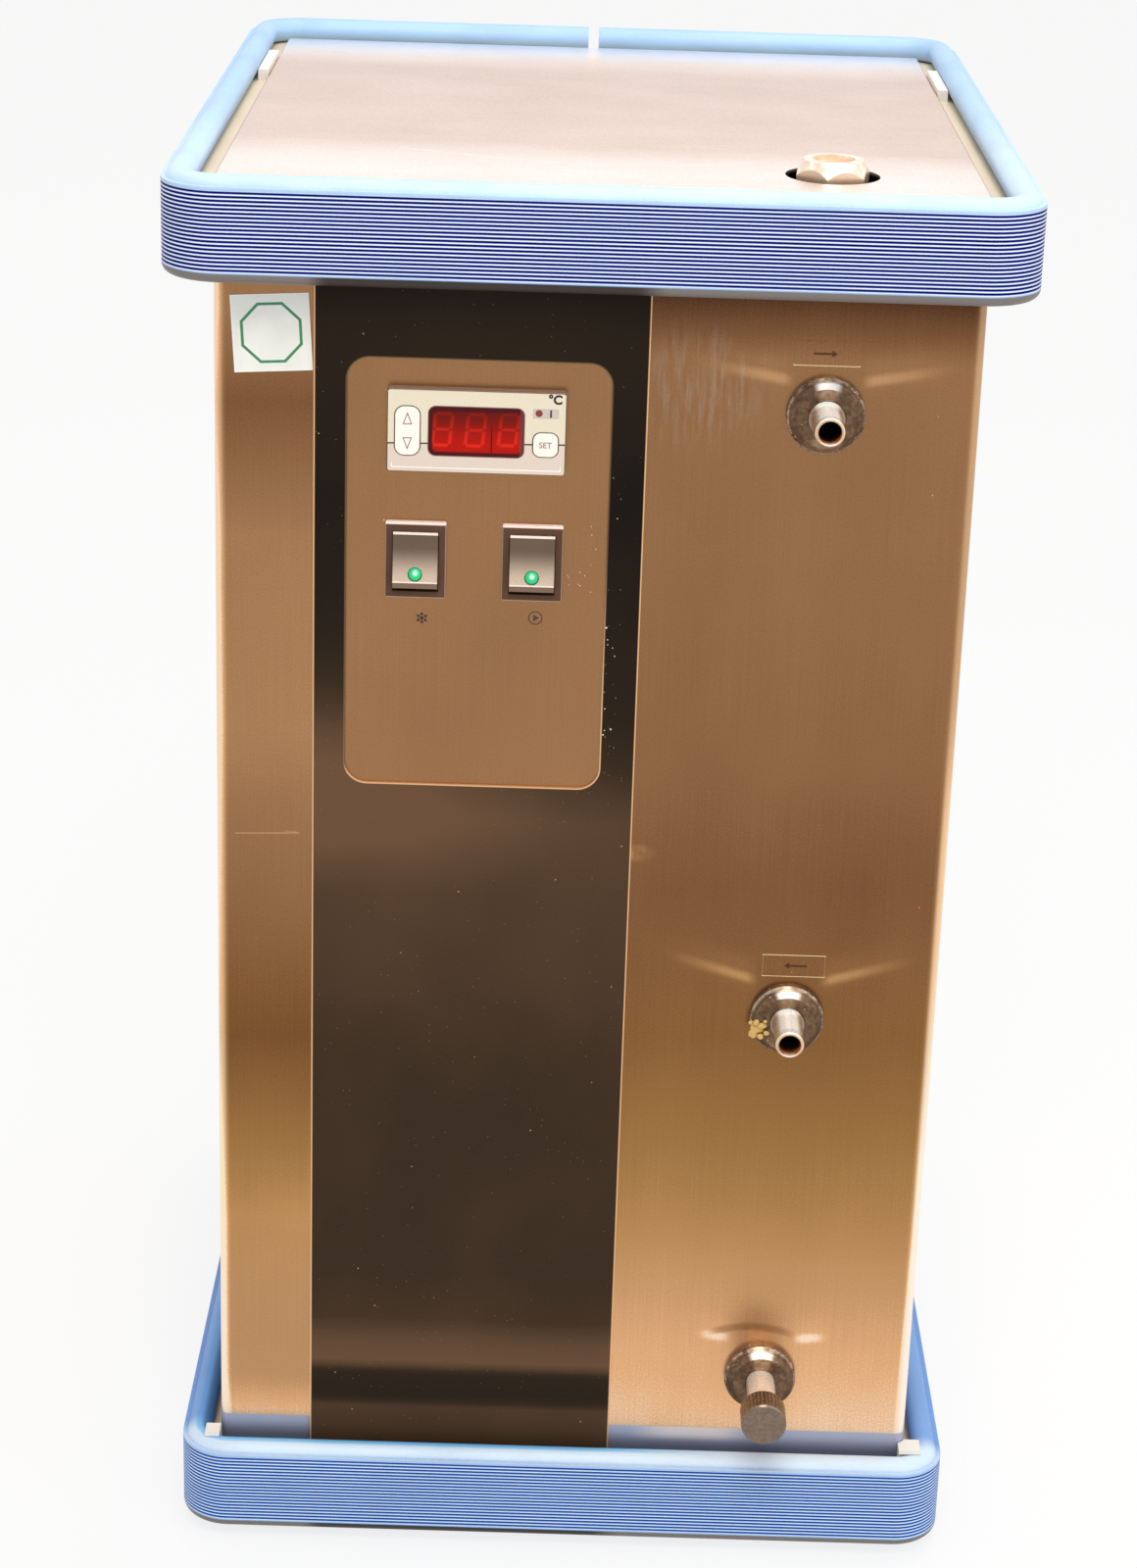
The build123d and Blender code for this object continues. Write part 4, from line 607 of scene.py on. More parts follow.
        # Painted highlight on the rounded upright edges, whiter low down and warmer higher up.
        bend_highlight = (self.half_width - abs(x)).ramp(4.5, 2.0) * (0.3 + x.ramp(0, 10) * z.ramp(430, 360) * 0.35)
        shine = shader.mix(tone(255, 250, 240), tone(255, 216, 172), z.ramp(190, 330))
        colour = shader.mix(colour, shine, bend_highlight * (1 - shader.y.ramp(3.0, 6.0)))
        crumbs = shader.specks(2.4, 0.34, 0.4) * (
            disc((x + 3) * 2.4, z - 491, 0.0).ramp(26.0, 14.0) + disc(x - 122, z - 575, 0.0).ramp(7.0, 3.0))
        colour = shader.mix(colour, tone(240, 218, 190), crumbs.least(1))
        # Painted reflection of the bottom bumper: bluish grey, lighter at its top, with a pale patch right of the
        # middle.
        bumper_reflection = shader.mix(tone(112, 116, 134), tone(168, 174, 196), z.ramp(47, 56))
        bumper_reflection = shader.mix(bumper_reflection, tone(224, 212, 212), abs(x - 62).ramp(34.0, 8.0) * z.ramp(50, 55) * 0.95)
        return shader, shader.mix(colour, bumper_reflection, self.bumper_reflection_mask(shader)), streaks

    def bumper_reflection_mask(self, shader: Shader) -> Value:
        """Mask of the painted reflection of the bottom bumper on the steel just above it."""
        return shader.z.ramp(self.bumper_reflection_top + 0.3, self.bumper_reflection_top - 0.3)

    def build(self) -> None:
        """Dresses the sheets."""
        shader, colour, streaks = self.shader("casing_steel")
        # Less metallic where the bumper's reflection is painted.
        steel = shader.finish(
            Base_Color=colour, Metallic=1 - self.bumper_reflection_mask(shader) * 0.85, Roughness=0.3 + (streaks - 0.5) * 0.1)
        dress(["casing_shell"], steel)
        rear = SheetFinish("rear_steel", tone(140, 105, 78), tone(198, 165, 135), 0.34)
        dress(["rear_panel"], rear.material())
        rail = SheetFinish("rail_steel", tone(236, 206, 168), tone(255, 240, 212), 0.4, Grain.ACROSS, metallic=0.1)
        dress(["top_bumper_rail", "bottom_bumper_rail"], rail.material())
        zinc = SheetFinish("zinc_sheet", tone(118, 118, 116), tone(188, 188, 184), 0.42, Grain.ROUND, 0.7, 18.0)
        dress(["base_tray", "mid_shelf", "fan_shroud"], zinc.material())
        screws = TurnedFinish("screw_steel", tone(110, 100, 88), tone(225, 215, 200), 0.25, (0.5, 0.5, 0.5))
        dress(["casing_screws", "hose_clamps"], screws.material())


@dataclass
class LidLook:
    """Folded lid, brushed from side to side, with specks, a long scratch and painted reflections."""

    scratch: tuple[tuple[float, float], ...] = ((-91.0, 107.0), (-50.0, 90.0), (-7.0, 80.0), (40.0, 84.0), (66.0, 96.0))

    def build(self) -> None:
        """Dresses the lid."""
        shader = Shader("lid_steel")
        x, y, z = shader.x, shader.y, shader.z
        streaks = shader.noise(Grain.ACROSS.value, 3.0, 0.6)
        cloud = shader.noise((60.0, 45.0, 60.0), 3.0, 0.55)
        fine = shader.noise((1.0, 1.0, 1.0), 2.0)
        # Painted reflection: brighter near the front and the rear, darker in the middle.
        level = y.stops(0, 420, ((0, 0.85), (55, 0.94), (90, 0.86), (125, 0.62), (330, 0.56), (385, 0.92), (420, 0.95)))
        level = level + (streaks - 0.5) * 0.24 + (cloud - 0.5) * 0.2 + (fine - 0.5) * 0.34
        ends = self.scratch
        for start, end in zip(ends, ends[1:]):
            level = level + stroke(x, y, start, end, 0.6).ink(0.4) * 0.4
        level = level + shader.specks(9.0, 0.5, 0.14) * 0.5 + shader.specks(23.0, 1.0, 0.12) * 0.4
        level = level - shader.specks(4.2, 0.4, 0.1) * 0.25
        body = shader.tones(level, (
            (0.0, tone(150, 122, 104)), (0.4, tone(206, 178, 160)), (0.7, tone(240, 216, 203)),
            (1.0, tone(254, 249, 242))))
        # Painted reflection: bluish white towards the rear, greyer along the front edge.
        lid_reflection_colour = shader.mix(body, tone(242, 238, 246), y.ramp(365, 408) * 0.8)
        lid_reflection_colour = shader.mix(lid_reflection_colour, tone(178, 150, 168), y.ramp(26, 8) * 0.9)
        side = shader.mix(lid_reflection_colour, tone(176, 140, 106), z.ramp(651.2, 650.2))
        shader.relief(streaks, 0.004)
        dress(["lid"], shader.finish(Base_Color=side, Metallic=1.0, Roughness=0.33 + (streaks - 0.5) * 0.1))


@dataclass
class FasciaLook:
    """Black plate with bare cut edges, dust, a window and painted reflections and highlights."""

    left: float = -121.8
    width: float = 143.9
    window_middle: tuple[float, float] = (-50.55, 484.1)
    window_size: tuple[float, float] = (113.9, 194.6)
    window_radius: float = 10.0

    def build(self) -> None:
        """Dresses the fascia plate."""
        shader = Shader("fascia_paint")
        x, y, z = shader.x, shader.y, shader.z
        # Painted reflection up the plate: a bright band near 90 mm over the bottom bumper, darker higher up.
        level = z.stops(0, 650, (
            (40, 0.76), (66, 0.78), (72, 0.48), (84, 0.52), (91, 1.0), (102, 0.92), (114, 0.72), (140, 0.67),
            (250, 0.68), (300, 0.76), (370, 0.82), (420, 0.48), (520, 0.36), (600, 0.5), (650, 0.25)))
        # Lighter towards the left between 330 and 470 mm high.
        lean = x.ramp(self.left + self.width, self.left) * z.ramp(330, 380) * z.ramp(470, 400)
        cloud = shader.noise((60.0, 60.0, 80.0), 3.0)
        grain = shader.noise((0.5, 0.5, 0.9), 2.0)
        share = level + lean * 0.35 + (cloud - 0.5) * 0.15 + (grain - 0.5) * 0.15
        paint = shader.tones(share, (
            (0.0, tone(8, 6, 5)), (0.35, tone(26, 20, 15)), (0.65, tone(54, 41, 28)), (1.0, tone(104, 77, 56))))
        dust = shader.specks(2.8, 0.26, 0.3) * 0.6 + shader.specks(9.0, 0.5, 0.3)
        paint = shader.mix(paint, tone(186, 148, 112), (dust * 0.8).least(1))
        beside_window = x.ramp(5.5, 6.5) * x.ramp(15.0, 8.5) * z.ramp(390, 410) * z.ramp(545, 520)
        crumbs = (shader.specks(2.2, 0.34, 0.4) + shader.specks(4.0, 0.6, 0.3)) * beside_window
        paint = shader.mix(paint, tone(240, 222, 196), crumbs.least(1))
        edges = (abs(x - self.left - self.width / 2) - self.width / 2 + 0.55).ramp(-0.25, 0.25)
        # Faint bare edge round the window, with a painted highlight on its lower and right edges.
        ring = panel(
            x - self.window_middle[0], z - self.window_middle[1], *self.window_size, self.window_radius).ramp(0.75, 0.3)
        lower = (z - self.window_middle[1]).ramp(-88, -94).most(
            (x - self.window_middle[0]).ramp(50, 55) * (z - self.window_middle[1]).ramp(20, -70))
        bare = edges.most(ring * (0.15 + lower * 0.85))
        shade = shader.mix(paint, tone(232, 186, 140), bare)
        shader.relief(grain, 0.01)
        dress(["fascia_plate"], shader.finish(
            Base_Color=shade, Metallic=bare * 0.6, Roughness=0.5 + (grain - 0.5) * 0.2, Specular_IOR_Level=0.06))


@dataclass(frozen=True)
class BandFinish:
    """Place and colours of one bumper.

    Attributes:
        name: Name of the finish.
        height: Height of its tube's middle.
        stand_off: Distance from the casing to its outer face.
        rib_highlight, groove_shade: Colours of its ribs, lightened as painted highlight, and between them, darkened as
            painted shade.
        tube, crown_highlight: Colours of its tube and of the tube's upper side, which carries a painted highlight.
        dark: Share of the grooves in the pitch.
        crown_highlight_rise: Heights over the tube's middle where the upper side's painted highlight starts and is
            full.
        summit_shading: Colour along the tube's top, painted lighter or darker as light falls there.
        flank_shading: Colour of the tube at the sides and the rear, painted lighter or darker as light falls there.
        flank_shading_reach: Places along the depth where that colour starts and is full.
        inner_shade_share: Strength of the painted shade on the darker inner side of the tube.
    """

    name: str
    height: float
    stand_off: float
    rib_highlight: Tone
    groove_shade: Tone
    tube: Tone
    crown_highlight: Tone
    dark: float
    crown_highlight_rise: tuple[float, float]
    summit_shading: Tone
    flank_shading: Tone
    flank_shading_reach: tuple[float, float]
    inner_shade_share: float


@dataclass
class BumperLook:
    """Blue extruded bumpers with ribs and painted light and shade, their white clips and blocks."""

    tube_heights: tuple[float, float] = (654.5, 45.0)
    stand_offs: tuple[float, float] = (22.0, 18.5)
    casing: tuple[float, float] = (330.0, 410.0)
    first_groove: float = 0.4
    groove_pitch: float = 1.72
    groove_count: int = 20
    band_drop: float = 34.4
    bead_rise: float = 1.8
    lip_drop: float = 39.0

    def band(self, look: BandFinish) -> bpy.types.Material:
        """Material of one bumper, with painted highlights and painted shade on its tube, ribs, grooves and lip.

        Args:
            look: Its place and colours.

        Returns:
            The material.
        """
        shader = Shader(look.name)
        x, y, z = shader.x, shader.y, shader.z - look.height
        first = (z + self.first_groove).repeat(self.groove_pitch)
        width, depth = self.casing[0] + 2 * look.stand_off, self.casing[1] + 2 * look.stand_off
        plan = panel(x, y - self.casing[1] / 2, width, depth, look.stand_off + 4.5)
        outer = plan.ramp(-1.9, -1.3)
        inside = z.ramp(self.first_groove + 0.3, -0.2) * z.ramp(-self.band_drop, -self.band_drop + 0.6)
        half = self.groove_pitch / 2 * look.dark
        lines = abs(first).ramp(half + 0.15, half - 0.15) * inside * outer
        cloud = shader.noise((40.0, 40.0, 12.0), 3.0)
        fine = shader.noise((0.8, 0.8, 0.8), 2.0)
        # Painted highlight on the tube's upper side, painted light along its top and at its sides and rear, painted
        # shade on its inner side.
        colour = shader.mix(look.tube, look.crown_highlight, z.ramp(*look.crown_highlight_rise))
        colour = shader.mix(colour, look.summit_shading, plan.ramp(-5.2, -7.4) * z.ramp(2.0, 4.5) * x.ramp(90, 20))
        colour = shader.mix(colour, look.flank_shading, y.ramp(*look.flank_shading_reach) * 0.85)
        colour = shader.mix(colour, tone(46, 98, 150), plan.ramp(-8.0, -11.0) * x.ramp(60, 0) * look.inner_shade_share)
        # Painted highlight on the ribs' faces and painted shade in the grooves between them.
        colour = shader.mix(colour, look.rib_highlight, z.ramp(self.bead_rise + 0.2, self.bead_rise - 0.2) * inside * outer)
        colour = shader.mix(colour, look.groove_shade, lines)
        colour = shader.mix(colour, tone(90, 120, 185), ((cloud - 0.45) * 0.5 + (fine - 0.5) * 0.2).most(0).least(1))
        # Painted shade under the inward-curled lip, darkest beside the fascia.
        lip = z.ramp(-self.band_drop, -self.band_drop - 0.5) * plan.ramp(-5.0, -3.0)
        lip_shade = shader.mix(tone(122, 114, 110), tone(54, 45, 42), x.ramp(-126, -114) * x.ramp(30, 14))
        colour = shader.mix(colour, lip_shade, lip)
        marks = shader.specks(14.0, 0.6, 0.12)
        colour = shader.mix(colour, tone(205, 215, 235), marks * 0.6)
        shader.relief(fine, 0.015)
        return shader.finish(Base_Color=colour, Roughness=0.42 + (cloud - 0.5) * 0.15, Specular_IOR_Level=0.3)

    def build(self) -> None:
        """Dresses the bumpers and the white pieces."""
        top, bottom = self.tube_heights
        dress(["top_bumper"], self.band(BandFinish(
            "top_bumper_blue", top, self.stand_offs[0], tone(236, 246, 255), tone(0, 26, 140),
            tone(150, 190, 236), tone(206, 230, 248), 0.64, (-1.0, 3.0), tone(196, 226, 248), tone(170, 206, 240),
            (20.0, 260.0), 0.0)))
        dress(["bottom_bumper"], self.band(BandFinish(
            "bottom_bumper_blue", bottom, self.stand_offs[1], tone(216, 242, 255), tone(12, 84, 186),
            tone(150, 190, 240), tone(220, 238, 254), 0.62, (0.0, 3.0), tone(134, 206, 255), tone(88, 146, 222),
            (-4.0, 12.0), 0.75)))
        white = MouldedFinish("clip_plastic", tone(240, 236, 228), 0.45, 0.5, 0.01, 0.05)
        dress(["bumper_blocks"], white.material())
        rubber = MouldedFinish("foot_rubber", tone(30, 29, 28), 0.7, 0.5, 0.03, 0.2, 0.1)
        dress(["rubber_feet"], rubber.material())


@dataclass
class StickerLook:
    """Paper sticker with a green octagon."""

    middle: tuple[float, float] = (-140.0, 590.4)
    size: float = 33.7
    turn: float = 3.4
    reach: float = 13.2
    line: float = 1.25

    def build(self) -> None:
        """Dresses the sticker."""
        shader = Shader("sticker_print")
        angle = math.radians(self.turn)
        across = shader.x - self.middle[0]
        up = shader.z - self.middle[1]
        turned = across * math.cos(angle) + up * math.sin(angle)
        raised = up * math.cos(angle) - across * math.sin(angle)
        sides = abs(turned).most(abs(raised)).most((abs(turned) + abs(raised)) * math.sqrt(0.5))
        ring = outline(sides - self.reach + self.line / 2, self.line).ink(0.12)
        wear = shader.noise((1.2, 1.2, 1.2), 3.0)
        paper = shader.mix(tone(222, 222, 212), tone(250, 248, 240), shader.noise((14.0, 14.0, 14.0), 3.0))
        edge = outline(panel(turned, raised, self.size - 0.4, self.size - 0.4, 0.2), 0.5).ink(0.1)
        paper = shader.mix(paper, tone(252, 252, 250), edge * 0.7)
        print_tone = shader.mix(tone(38, 116, 72), tone(70, 150, 100), wear)
        shader.relief(wear, 0.01)
        dress(["octagon_sticker"], shader.finish(
            Base_Color=shader.mix(paper, print_tone, ring), Roughness=0.45 + (wear - 0.5) * 0.1))


@dataclass
class ControllerLook:
    """Panel controller: bezel, printed face, red display and two keys."""

    middle: tuple[float, float] = (-51.4, 550.8)
    bezel: tuple[float, float] = (77.0, 36.5)
    display: tuple[float, float, float, float] = (-51.5, 551.0, 40.8, 21.4)
    level_key: tuple[float, float, float, float] = (-81.1, 550.8, 10.6, 21.4)
    set_key: tuple[float, float, float, float] = (-21.6, 546.2, 10.6, 10.4)
    chip: tuple[float, float, float, float] = (-21.8, 560.0, 10.8, 3.9)
    digit_pitch: float = 14.2
    digit_middle: float = -51.9

    def around(self, shader: Shader, box: tuple[float, float, float, float], radius: float) -> Value:
        """Distance from the edge of a rounded box on the face."""
        return panel(shader.x - box[0], shader.z - box[1], box[2], box[3], radius)

    def face(self) -> bpy.types.Material:
        """Printed face: cream above the dark line, grey-pink below it, with a painted highlight on its lower rim."""
        shader = Shader("controller_print")
        x, z = shader.x, shader.z
        fibre = shader.noise((1.5, 1.5, 1.5), 3.0)
        level = z - (x * 0.018 + 546.7)
        colour = shader.mix(tone(224, 206, 191), tone(230, 219, 194), level.ramp(-0.2, 0.2))
        colour = shader.mix(colour, tone(214, 200, 184), (fibre - 0.45).most(0) * 0.5)
        rim = panel(x - self.middle[0], z - self.middle[1], self.bezel[0] - 3.4, self.bezel[1] - 3.4, 0.4)
        # Painted highlight: a white line along the face's lower rim.
        colour = shader.mix(colour, tone(255, 250, 240), outline(rim + 0.4, 0.4).ink(0.15) * z.ramp(538, 535))
        colour = shader.mix(colour, tone(66, 40, 34), (abs(level) - 0.35).ink(0.15))
        for box, radius, width in (
                (self.level_key, 4.0, 0.5), (self.set_key, 3.2, 0.5), (self.display, 3.0, 0.5)):
            colour = shader.mix(colour, tone(120, 76, 62), outline(
                self.around(shader, box, radius) - 0.25, width).ink(0.14) * 0.9)
        chip = self.around(shader, self.chip, 0.3)
        colour = shader.mix(colour, tone(206, 190, 180), chip.ink(0.1))
        colour = shader.mix(colour, tone(170, 150, 142), outline(chip, 0.25).ink(0.1) * 0.6)
        lamp = disc(x - self.chip[0] + 2.9, z - self.chip[1] - 0.1, 1.35)
        colour = shader.mix(colour, tone(150, 42, 44), lamp.ink(0.12))
        colour = shader.mix(colour, tone(84, 40, 42), outline(lamp, 0.35).ink(0.12))
        shader.relief(fibre, 0.006)
        return shader.finish(Base_Color=colour, Roughness=0.4 + (fibre - 0.5) * 0.1)

    def glass(self) -> bpy.types.Material:
        """Red window with three unlit seven-bar digits behind it, painted brighter low down and with a faint painted
        emission.
        """
        shader = Shader("display_glass")
        x, z = shader.x, shader.z
        middle_x, middle_z, width, height = self.display
        lean = (z - middle_z) * 0.1
        across = (x - lean - self.digit_middle).repeat(self.digit_pitch)
        up = z - middle_z - 0.8 + x.ramp(-44, -40) * -0.6
        beside = abs(across)
        sides = panel(beside - 3.7, abs(up) - 3.5, 1.5, 6.0, 0.5)
        bars = panel(across, abs(up) - 7.0, 6.4, 1.5, 0.5)
        bars = bars.least(panel(across, up, 6.0, 1.3, 0.5))
        digits = sides.least(bars).ink(0.3)
        # Painted light: the window brightens towards its lower part.
        painted_glow = z.ramp(middle_z + 9, middle_z - 7)
        fine = shader.noise((1.2, 1.2, 1.2), 3.0)
        inner = panel(x - middle_x - 0.3, z - middle_z + 0.2, width - 2.6, height - 3.6, 2.0).ink(0.5)
        field_tone = shader.mix(tone(104, 22, 14), tone(184, 24, 12), painted_glow * (0.6 + fine * 0.6))
        colour = shader.mix(tone(74, 20, 24), field_tone, inner)
        colour = shader.mix(colour, tone(232, 46, 26), digits * inner * (0.12 + painted_glow * 0.5))
        split = (abs(x + 44.9) - 0.25).ink(0.25) * z.ramp(middle_z + 6, middle_z - 2)
        colour = shader.mix(colour, tone(70, 8, 8), split * inner)
        colour = shader.mix(colour, tone(120, 70, 72), x.ramp(-33.2, -32.2) * 0.6)
        shader.relief(fine, 0.002)
        # Painted emission on the unlit digits.
        painted_glow_colour = shader.mix(tone(40, 0, 0), tone(150, 8, 4), digits * inner * painted_glow)
        return shader.finish(
            Base_Color=colour, Roughness=0.36 + (fine - 0.5) * 0.05, Specular_IOR_Level=0.08,
            Emission_Color=painted_glow_colour, Emission_Strength=0.1)

    def key(self) -> bpy.types.Material:
        """Cream keys with two outlined triangles on the taller one."""
        shader = Shader("key_print")
        x, z = shader.x - self.level_key[0], shader.z
        fibre = shader.noise((1.0, 1.0, 1.0), 3.0)
        colour = shader.mix(tone(244, 236, 220), tone(255, 251, 242), fibre)
        for tip, base in ((558.6, 553.9), (543.0, 547.7)):
            rise = tip - base
            slope = abs(x) - (tip - z) * (1.75 / rise)
            ends = (base - z) if rise > 0 else (z - base)
            colour = shader.mix(colour, tone(128, 84, 70), outline(slope.most(ends), 0.42).ink(0.12))
        shader.relief(fibre, 0.004)
        return shader.finish(Base_Color=colour, Roughness=0.42 + (fibre - 0.5) * 0.1)

    def rim(self) -> bpy.types.Material:
        """Dark moulded bezel whose upper edges catch the light."""
        finish = MouldedFinish("bezel_plastic", tone(74, 52, 44), 0.45, 0.4, 0.01, 0.2)
        shader, colour, pores = finish.shader()
        top = self.middle[1] + self.bezel[1] / 2
        # Painted highlights along the top edges and on the right side edge.
        lines = (abs(shader.z - top + 1.2).ramp(0.5, 0.15)).most(abs(shader.z - top + 0.1).ramp(0.35, 0.1) * 0.6)
        edge = abs(shader.x - self.middle[0]).ramp(self.bezel[0] / 2 - 0.6, self.bezel[0] / 2 - 0.2) * 0.5
        colour = shader.mix(colour, tone(176, 140, 122), lines.most(edge * shader.x.ramp(-60, -30)))
        return shader.finish(Base_Color=colour, Roughness=0.42 + (pores - 0.5) * 0.1)

    def build(self) -> None:
        """Dresses the controller's nodes and adds its small prints."""
        dress(["controller_face"], self.face())
        dress(["display_window"], self.glass())
        dress(["level_key", "set_key"], self.key())
        dress(["controller_bezel"], self.rim())
        black = MouldedFinish("housing_plastic", tone(44, 42, 40), 0.5, 0.6, 0.02, 0.15)
        dress(["controller_housing"], black.material())
        ink = MouldedFinish("print_ink", tone(26, 19, 18), 0.5, 0.5, 0.002, 0.1).material()
        front = self.front_of("controller_face")
        Lettering("unit_print", "°C", 3.8, (-17.8, 566.4), front, "chiller", 0.06).build(ink)
        Lettering("channel_print", "1", 3.0, (-19.6, 560.0), front, "chiller", 0.06).build(ink)
        pale = MouldedFinish("key_ink", tone(150, 122, 110), 0.5, 0.5, 0.002, 0.1).material()
        Lettering("key_print", "SET", 2.5, (-21.6, 546.2), self.front_of("set_key"), "set_button").build(pale)

    def front_of(self, node: str) -> float:
        """Front face of a CAD node, in drawing millimetres."""
        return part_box(node)[0].y / MM + FRONT_OFFSET


@dataclass
class Lettering:
    """Thin printed characters on an upright face.

    Attributes:
        name: Name of the piece.
        words: What it shows.
        size: Height of a capital letter.
        middle: Its middle, as x and z.
        front: Place of the face that it lies on.
        body: Body that it rides on.
        weight: Extra thickness of its lines over its size.
        thickness: Thickness of its ink.
    """

    name: str
    words: str
    size: float
    middle: tuple[float, float]
    front: float
    body: str
    weight: float = 0.02
    thickness: float = 0.03

    def build(self, material: bpy.types.Material) -> None:
        """Makes the characters.

        Args:
            material: Their ink.
        """
        bpy.ops.object.select_all(action="DESELECT")
        bpy.ops.object.text_add()
        piece = bpy.context.object
        piece.data.body = self.words
        piece.data.align_x = "CENTER"
        piece.data.align_y = "CENTER"
        piece.data.size = self.size * MM / 0.7
        piece.data.extrude = self.thickness * MM / 2
        piece.data.offset = self.weight * self.size * MM
        bpy.ops.object.convert(target="MESH")
        piece = bpy.context.object
        piece.rotation_euler = (math.pi / 2, 0.0, 0.0)
        low, high = extent(piece)
        centre = (low + high) / 2
        goal = spot(self.middle[0], self.front - self.thickness / 2, self.middle[1])
        piece.location = goal - Matrix.Rotation(math.pi / 2, 3, "X") @ centre
        settle(piece, self.name, self.body, material)


def extent(piece: bpy.types.Object) -> tuple[Vector, Vector]:
    """Lowest and highest corner of a piece's own mesh.

    Args:
        piece: The piece.

    Returns:
        The two corners.
    """
    places = [vertex.co for vertex in piece.data.vertices]
    low = Vector(min(place[axis] for place in places) for axis in range(3))
    high = Vector(max(place[axis] for place in places) for axis in range(3))
    return low, high


def settle(piece: bpy.types.Object, name: str, body: str, material: bpy.types.Material) -> None:
    """Puts a piece's place into its mesh, names and dresses it and lets it ride on a body.

    Args:
        piece: The piece.
        name: Its name.
        body: The CAD body.
        material: Its material.
    """
    bpy.ops.object.select_all(action="DESELECT")
    piece.select_set(True)
    bpy.context.view_layer.objects.active = piece
    bpy.ops.object.transform_apply(location=True, rotation=True, scale=True)
    piece.name = name
    piece.data.name = name
    piece.data.materials.clear()
    piece.data.materials.append(material)
    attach(piece, body)
    LOG.info("%s built, %d faces", name, len(piece.data.polygons))


def start_piece() -> None:
    """Clears the selection, so that an operator acts on the new primitive alone."""
    if bpy.context.object and bpy.context.object.mode != "OBJECT":
        bpy.ops.object.mode_set(mode="OBJECT")
    bpy.ops.object.select_all(action="DESELECT")


@dataclass
class SwitchLook:
    """Two rocker switches with green lenses."""

    names: tuple[str, str] = ("cooling", "pump")
    middles: tuple[float, float] = (-77.0, -26.0)
    height: float = 491.7
    frame: tuple[float, float] = (26.5, 34.5)
    rocker_edges: tuple[float, float] = (482.3, 503.7)
    rocker_width: float = 19.7
    lens_height: float = 486.1

    def body(self, name: str, middle: float) -> bpy.types.Material:
        """Dark frame with painted highlights along its edges, strongest along the top."""
        finish = MouldedFinish(f"{name}_frame_plastic", tone(92, 67, 51), 0.5, 0.35, 0.01, 0.15, 0.05)
        shader, colour, pores = finish.shader()
        x, z = shader.x - middle, shader.z - self.height
        half_x, half_z = self.frame[0] / 2, self.frame[1] / 2
        # Painted highlights: strong along the top edge, weaker along the bottom edge and the sides.
        top = z.ramp(half_z - 1.5, half_z - 0.9)
        low = z.ramp(-half_z + 0.5, -half_z + 0.1) * 0.6
        beside = abs(x).ramp(half_x - 0.45, half_x - 0.1) * 0.35
        colour = shader.mix(colour, tone(250, 228, 216), top.most(low).most(beside))
        return shader.finish(Base_Color=colour, Roughness=0.5 + (pores - 0.5) * 0.1, Specular_IOR_Level=0.1)

    def rocker(self, name: str, middle: float) -> bpy.types.Material:
        """Rocker painted brighter towards its lower end, with painted edge highlights and painted shade at its sides
        and bottom.
        """
        finish = MouldedFinish(f"{name}_rocker_plastic", tone(102, 83, 68), 0.4, 0.35, 0.015, 0.1)
        shader, colour, pores = finish.shader()
        low, high = self.rocker_edges
        # Painted light: brighter towards the lower end.
        colour = shader.mix(colour, tone(216, 192, 170), shader.z.ramp(high - 5, low + 0.5) * 0.95)
        colour = shader.mix(colour, tone(78, 63, 54), (pores - 0.48).most(0).least(0.5) * 1.3)
        # Painted highlights along the lower and upper edges, then painted shade below the lower edge and at the sides.
        colour = shader.mix(colour, tone(255, 246, 240), outline(shader.z - low - 0.35, 0.5).ink(0.2) * 0.8)
        colour = shader.mix(colour, tone(250, 232, 222), shader.z.ramp(high - 0.15, high + 0.15))
        colour = shader.mix(colour, tone(128, 102, 84), shader.z.ramp(low + 0.1, low - 0.1))
        sides = abs(shader.x - middle).ramp(self.rocker_width / 2 - 0.3, self.rocker_width / 2)
        colour = shader.mix(colour, tone(80, 62, 54), sides * 0.7)
        return shader.finish(Base_Color=colour, Roughness=0.42 + (pores - 0.5) * 0.2, Specular_IOR_Level=0.3)

    def lens(self, name: str, middle: float) -> bpy.types.Material:
        """Green lens with a pale painted highlight near its middle."""
        shader = Shader(f"{name}_lens_green")
        fine = shader.noise((0.8, 0.8, 0.8), 2.0)
        away = disc(shader.x - middle, shader.z - self.lens_height, 0.0)
        # Painted highlight: a pale spot just above the middle.
        core_highlight = disc(shader.x - middle - 0.1, shader.z - self.lens_height - 0.7, 0.0).ramp(1.6, 0.4)
        colour = shader.mix(tone(14, 198, 122), tone(220, 250, 232), core_highlight * 0.85 + fine * 0.05)
        colour = shader.mix(colour, tone(8, 104, 64), away.ramp(2.5, 3.1))
        shader.relief(fine, 0.002)
        return shader.finish(
            Base_Color=colour, Roughness=0.25, Specular_IOR_Level=0.3, Emission_Color=colour, Emission_Strength=0.16)

    def build(self) -> None:
        """Dresses both switches."""
        for name, middle in zip(self.names, self.middles):
            dress([f"{name}_switch_body"], self.body(name, middle))
            dress([f"{name}_switch_rocker"], self.rocker(name, middle))
            dress([f"{name}_switch_lens"], self.lens(name, middle))


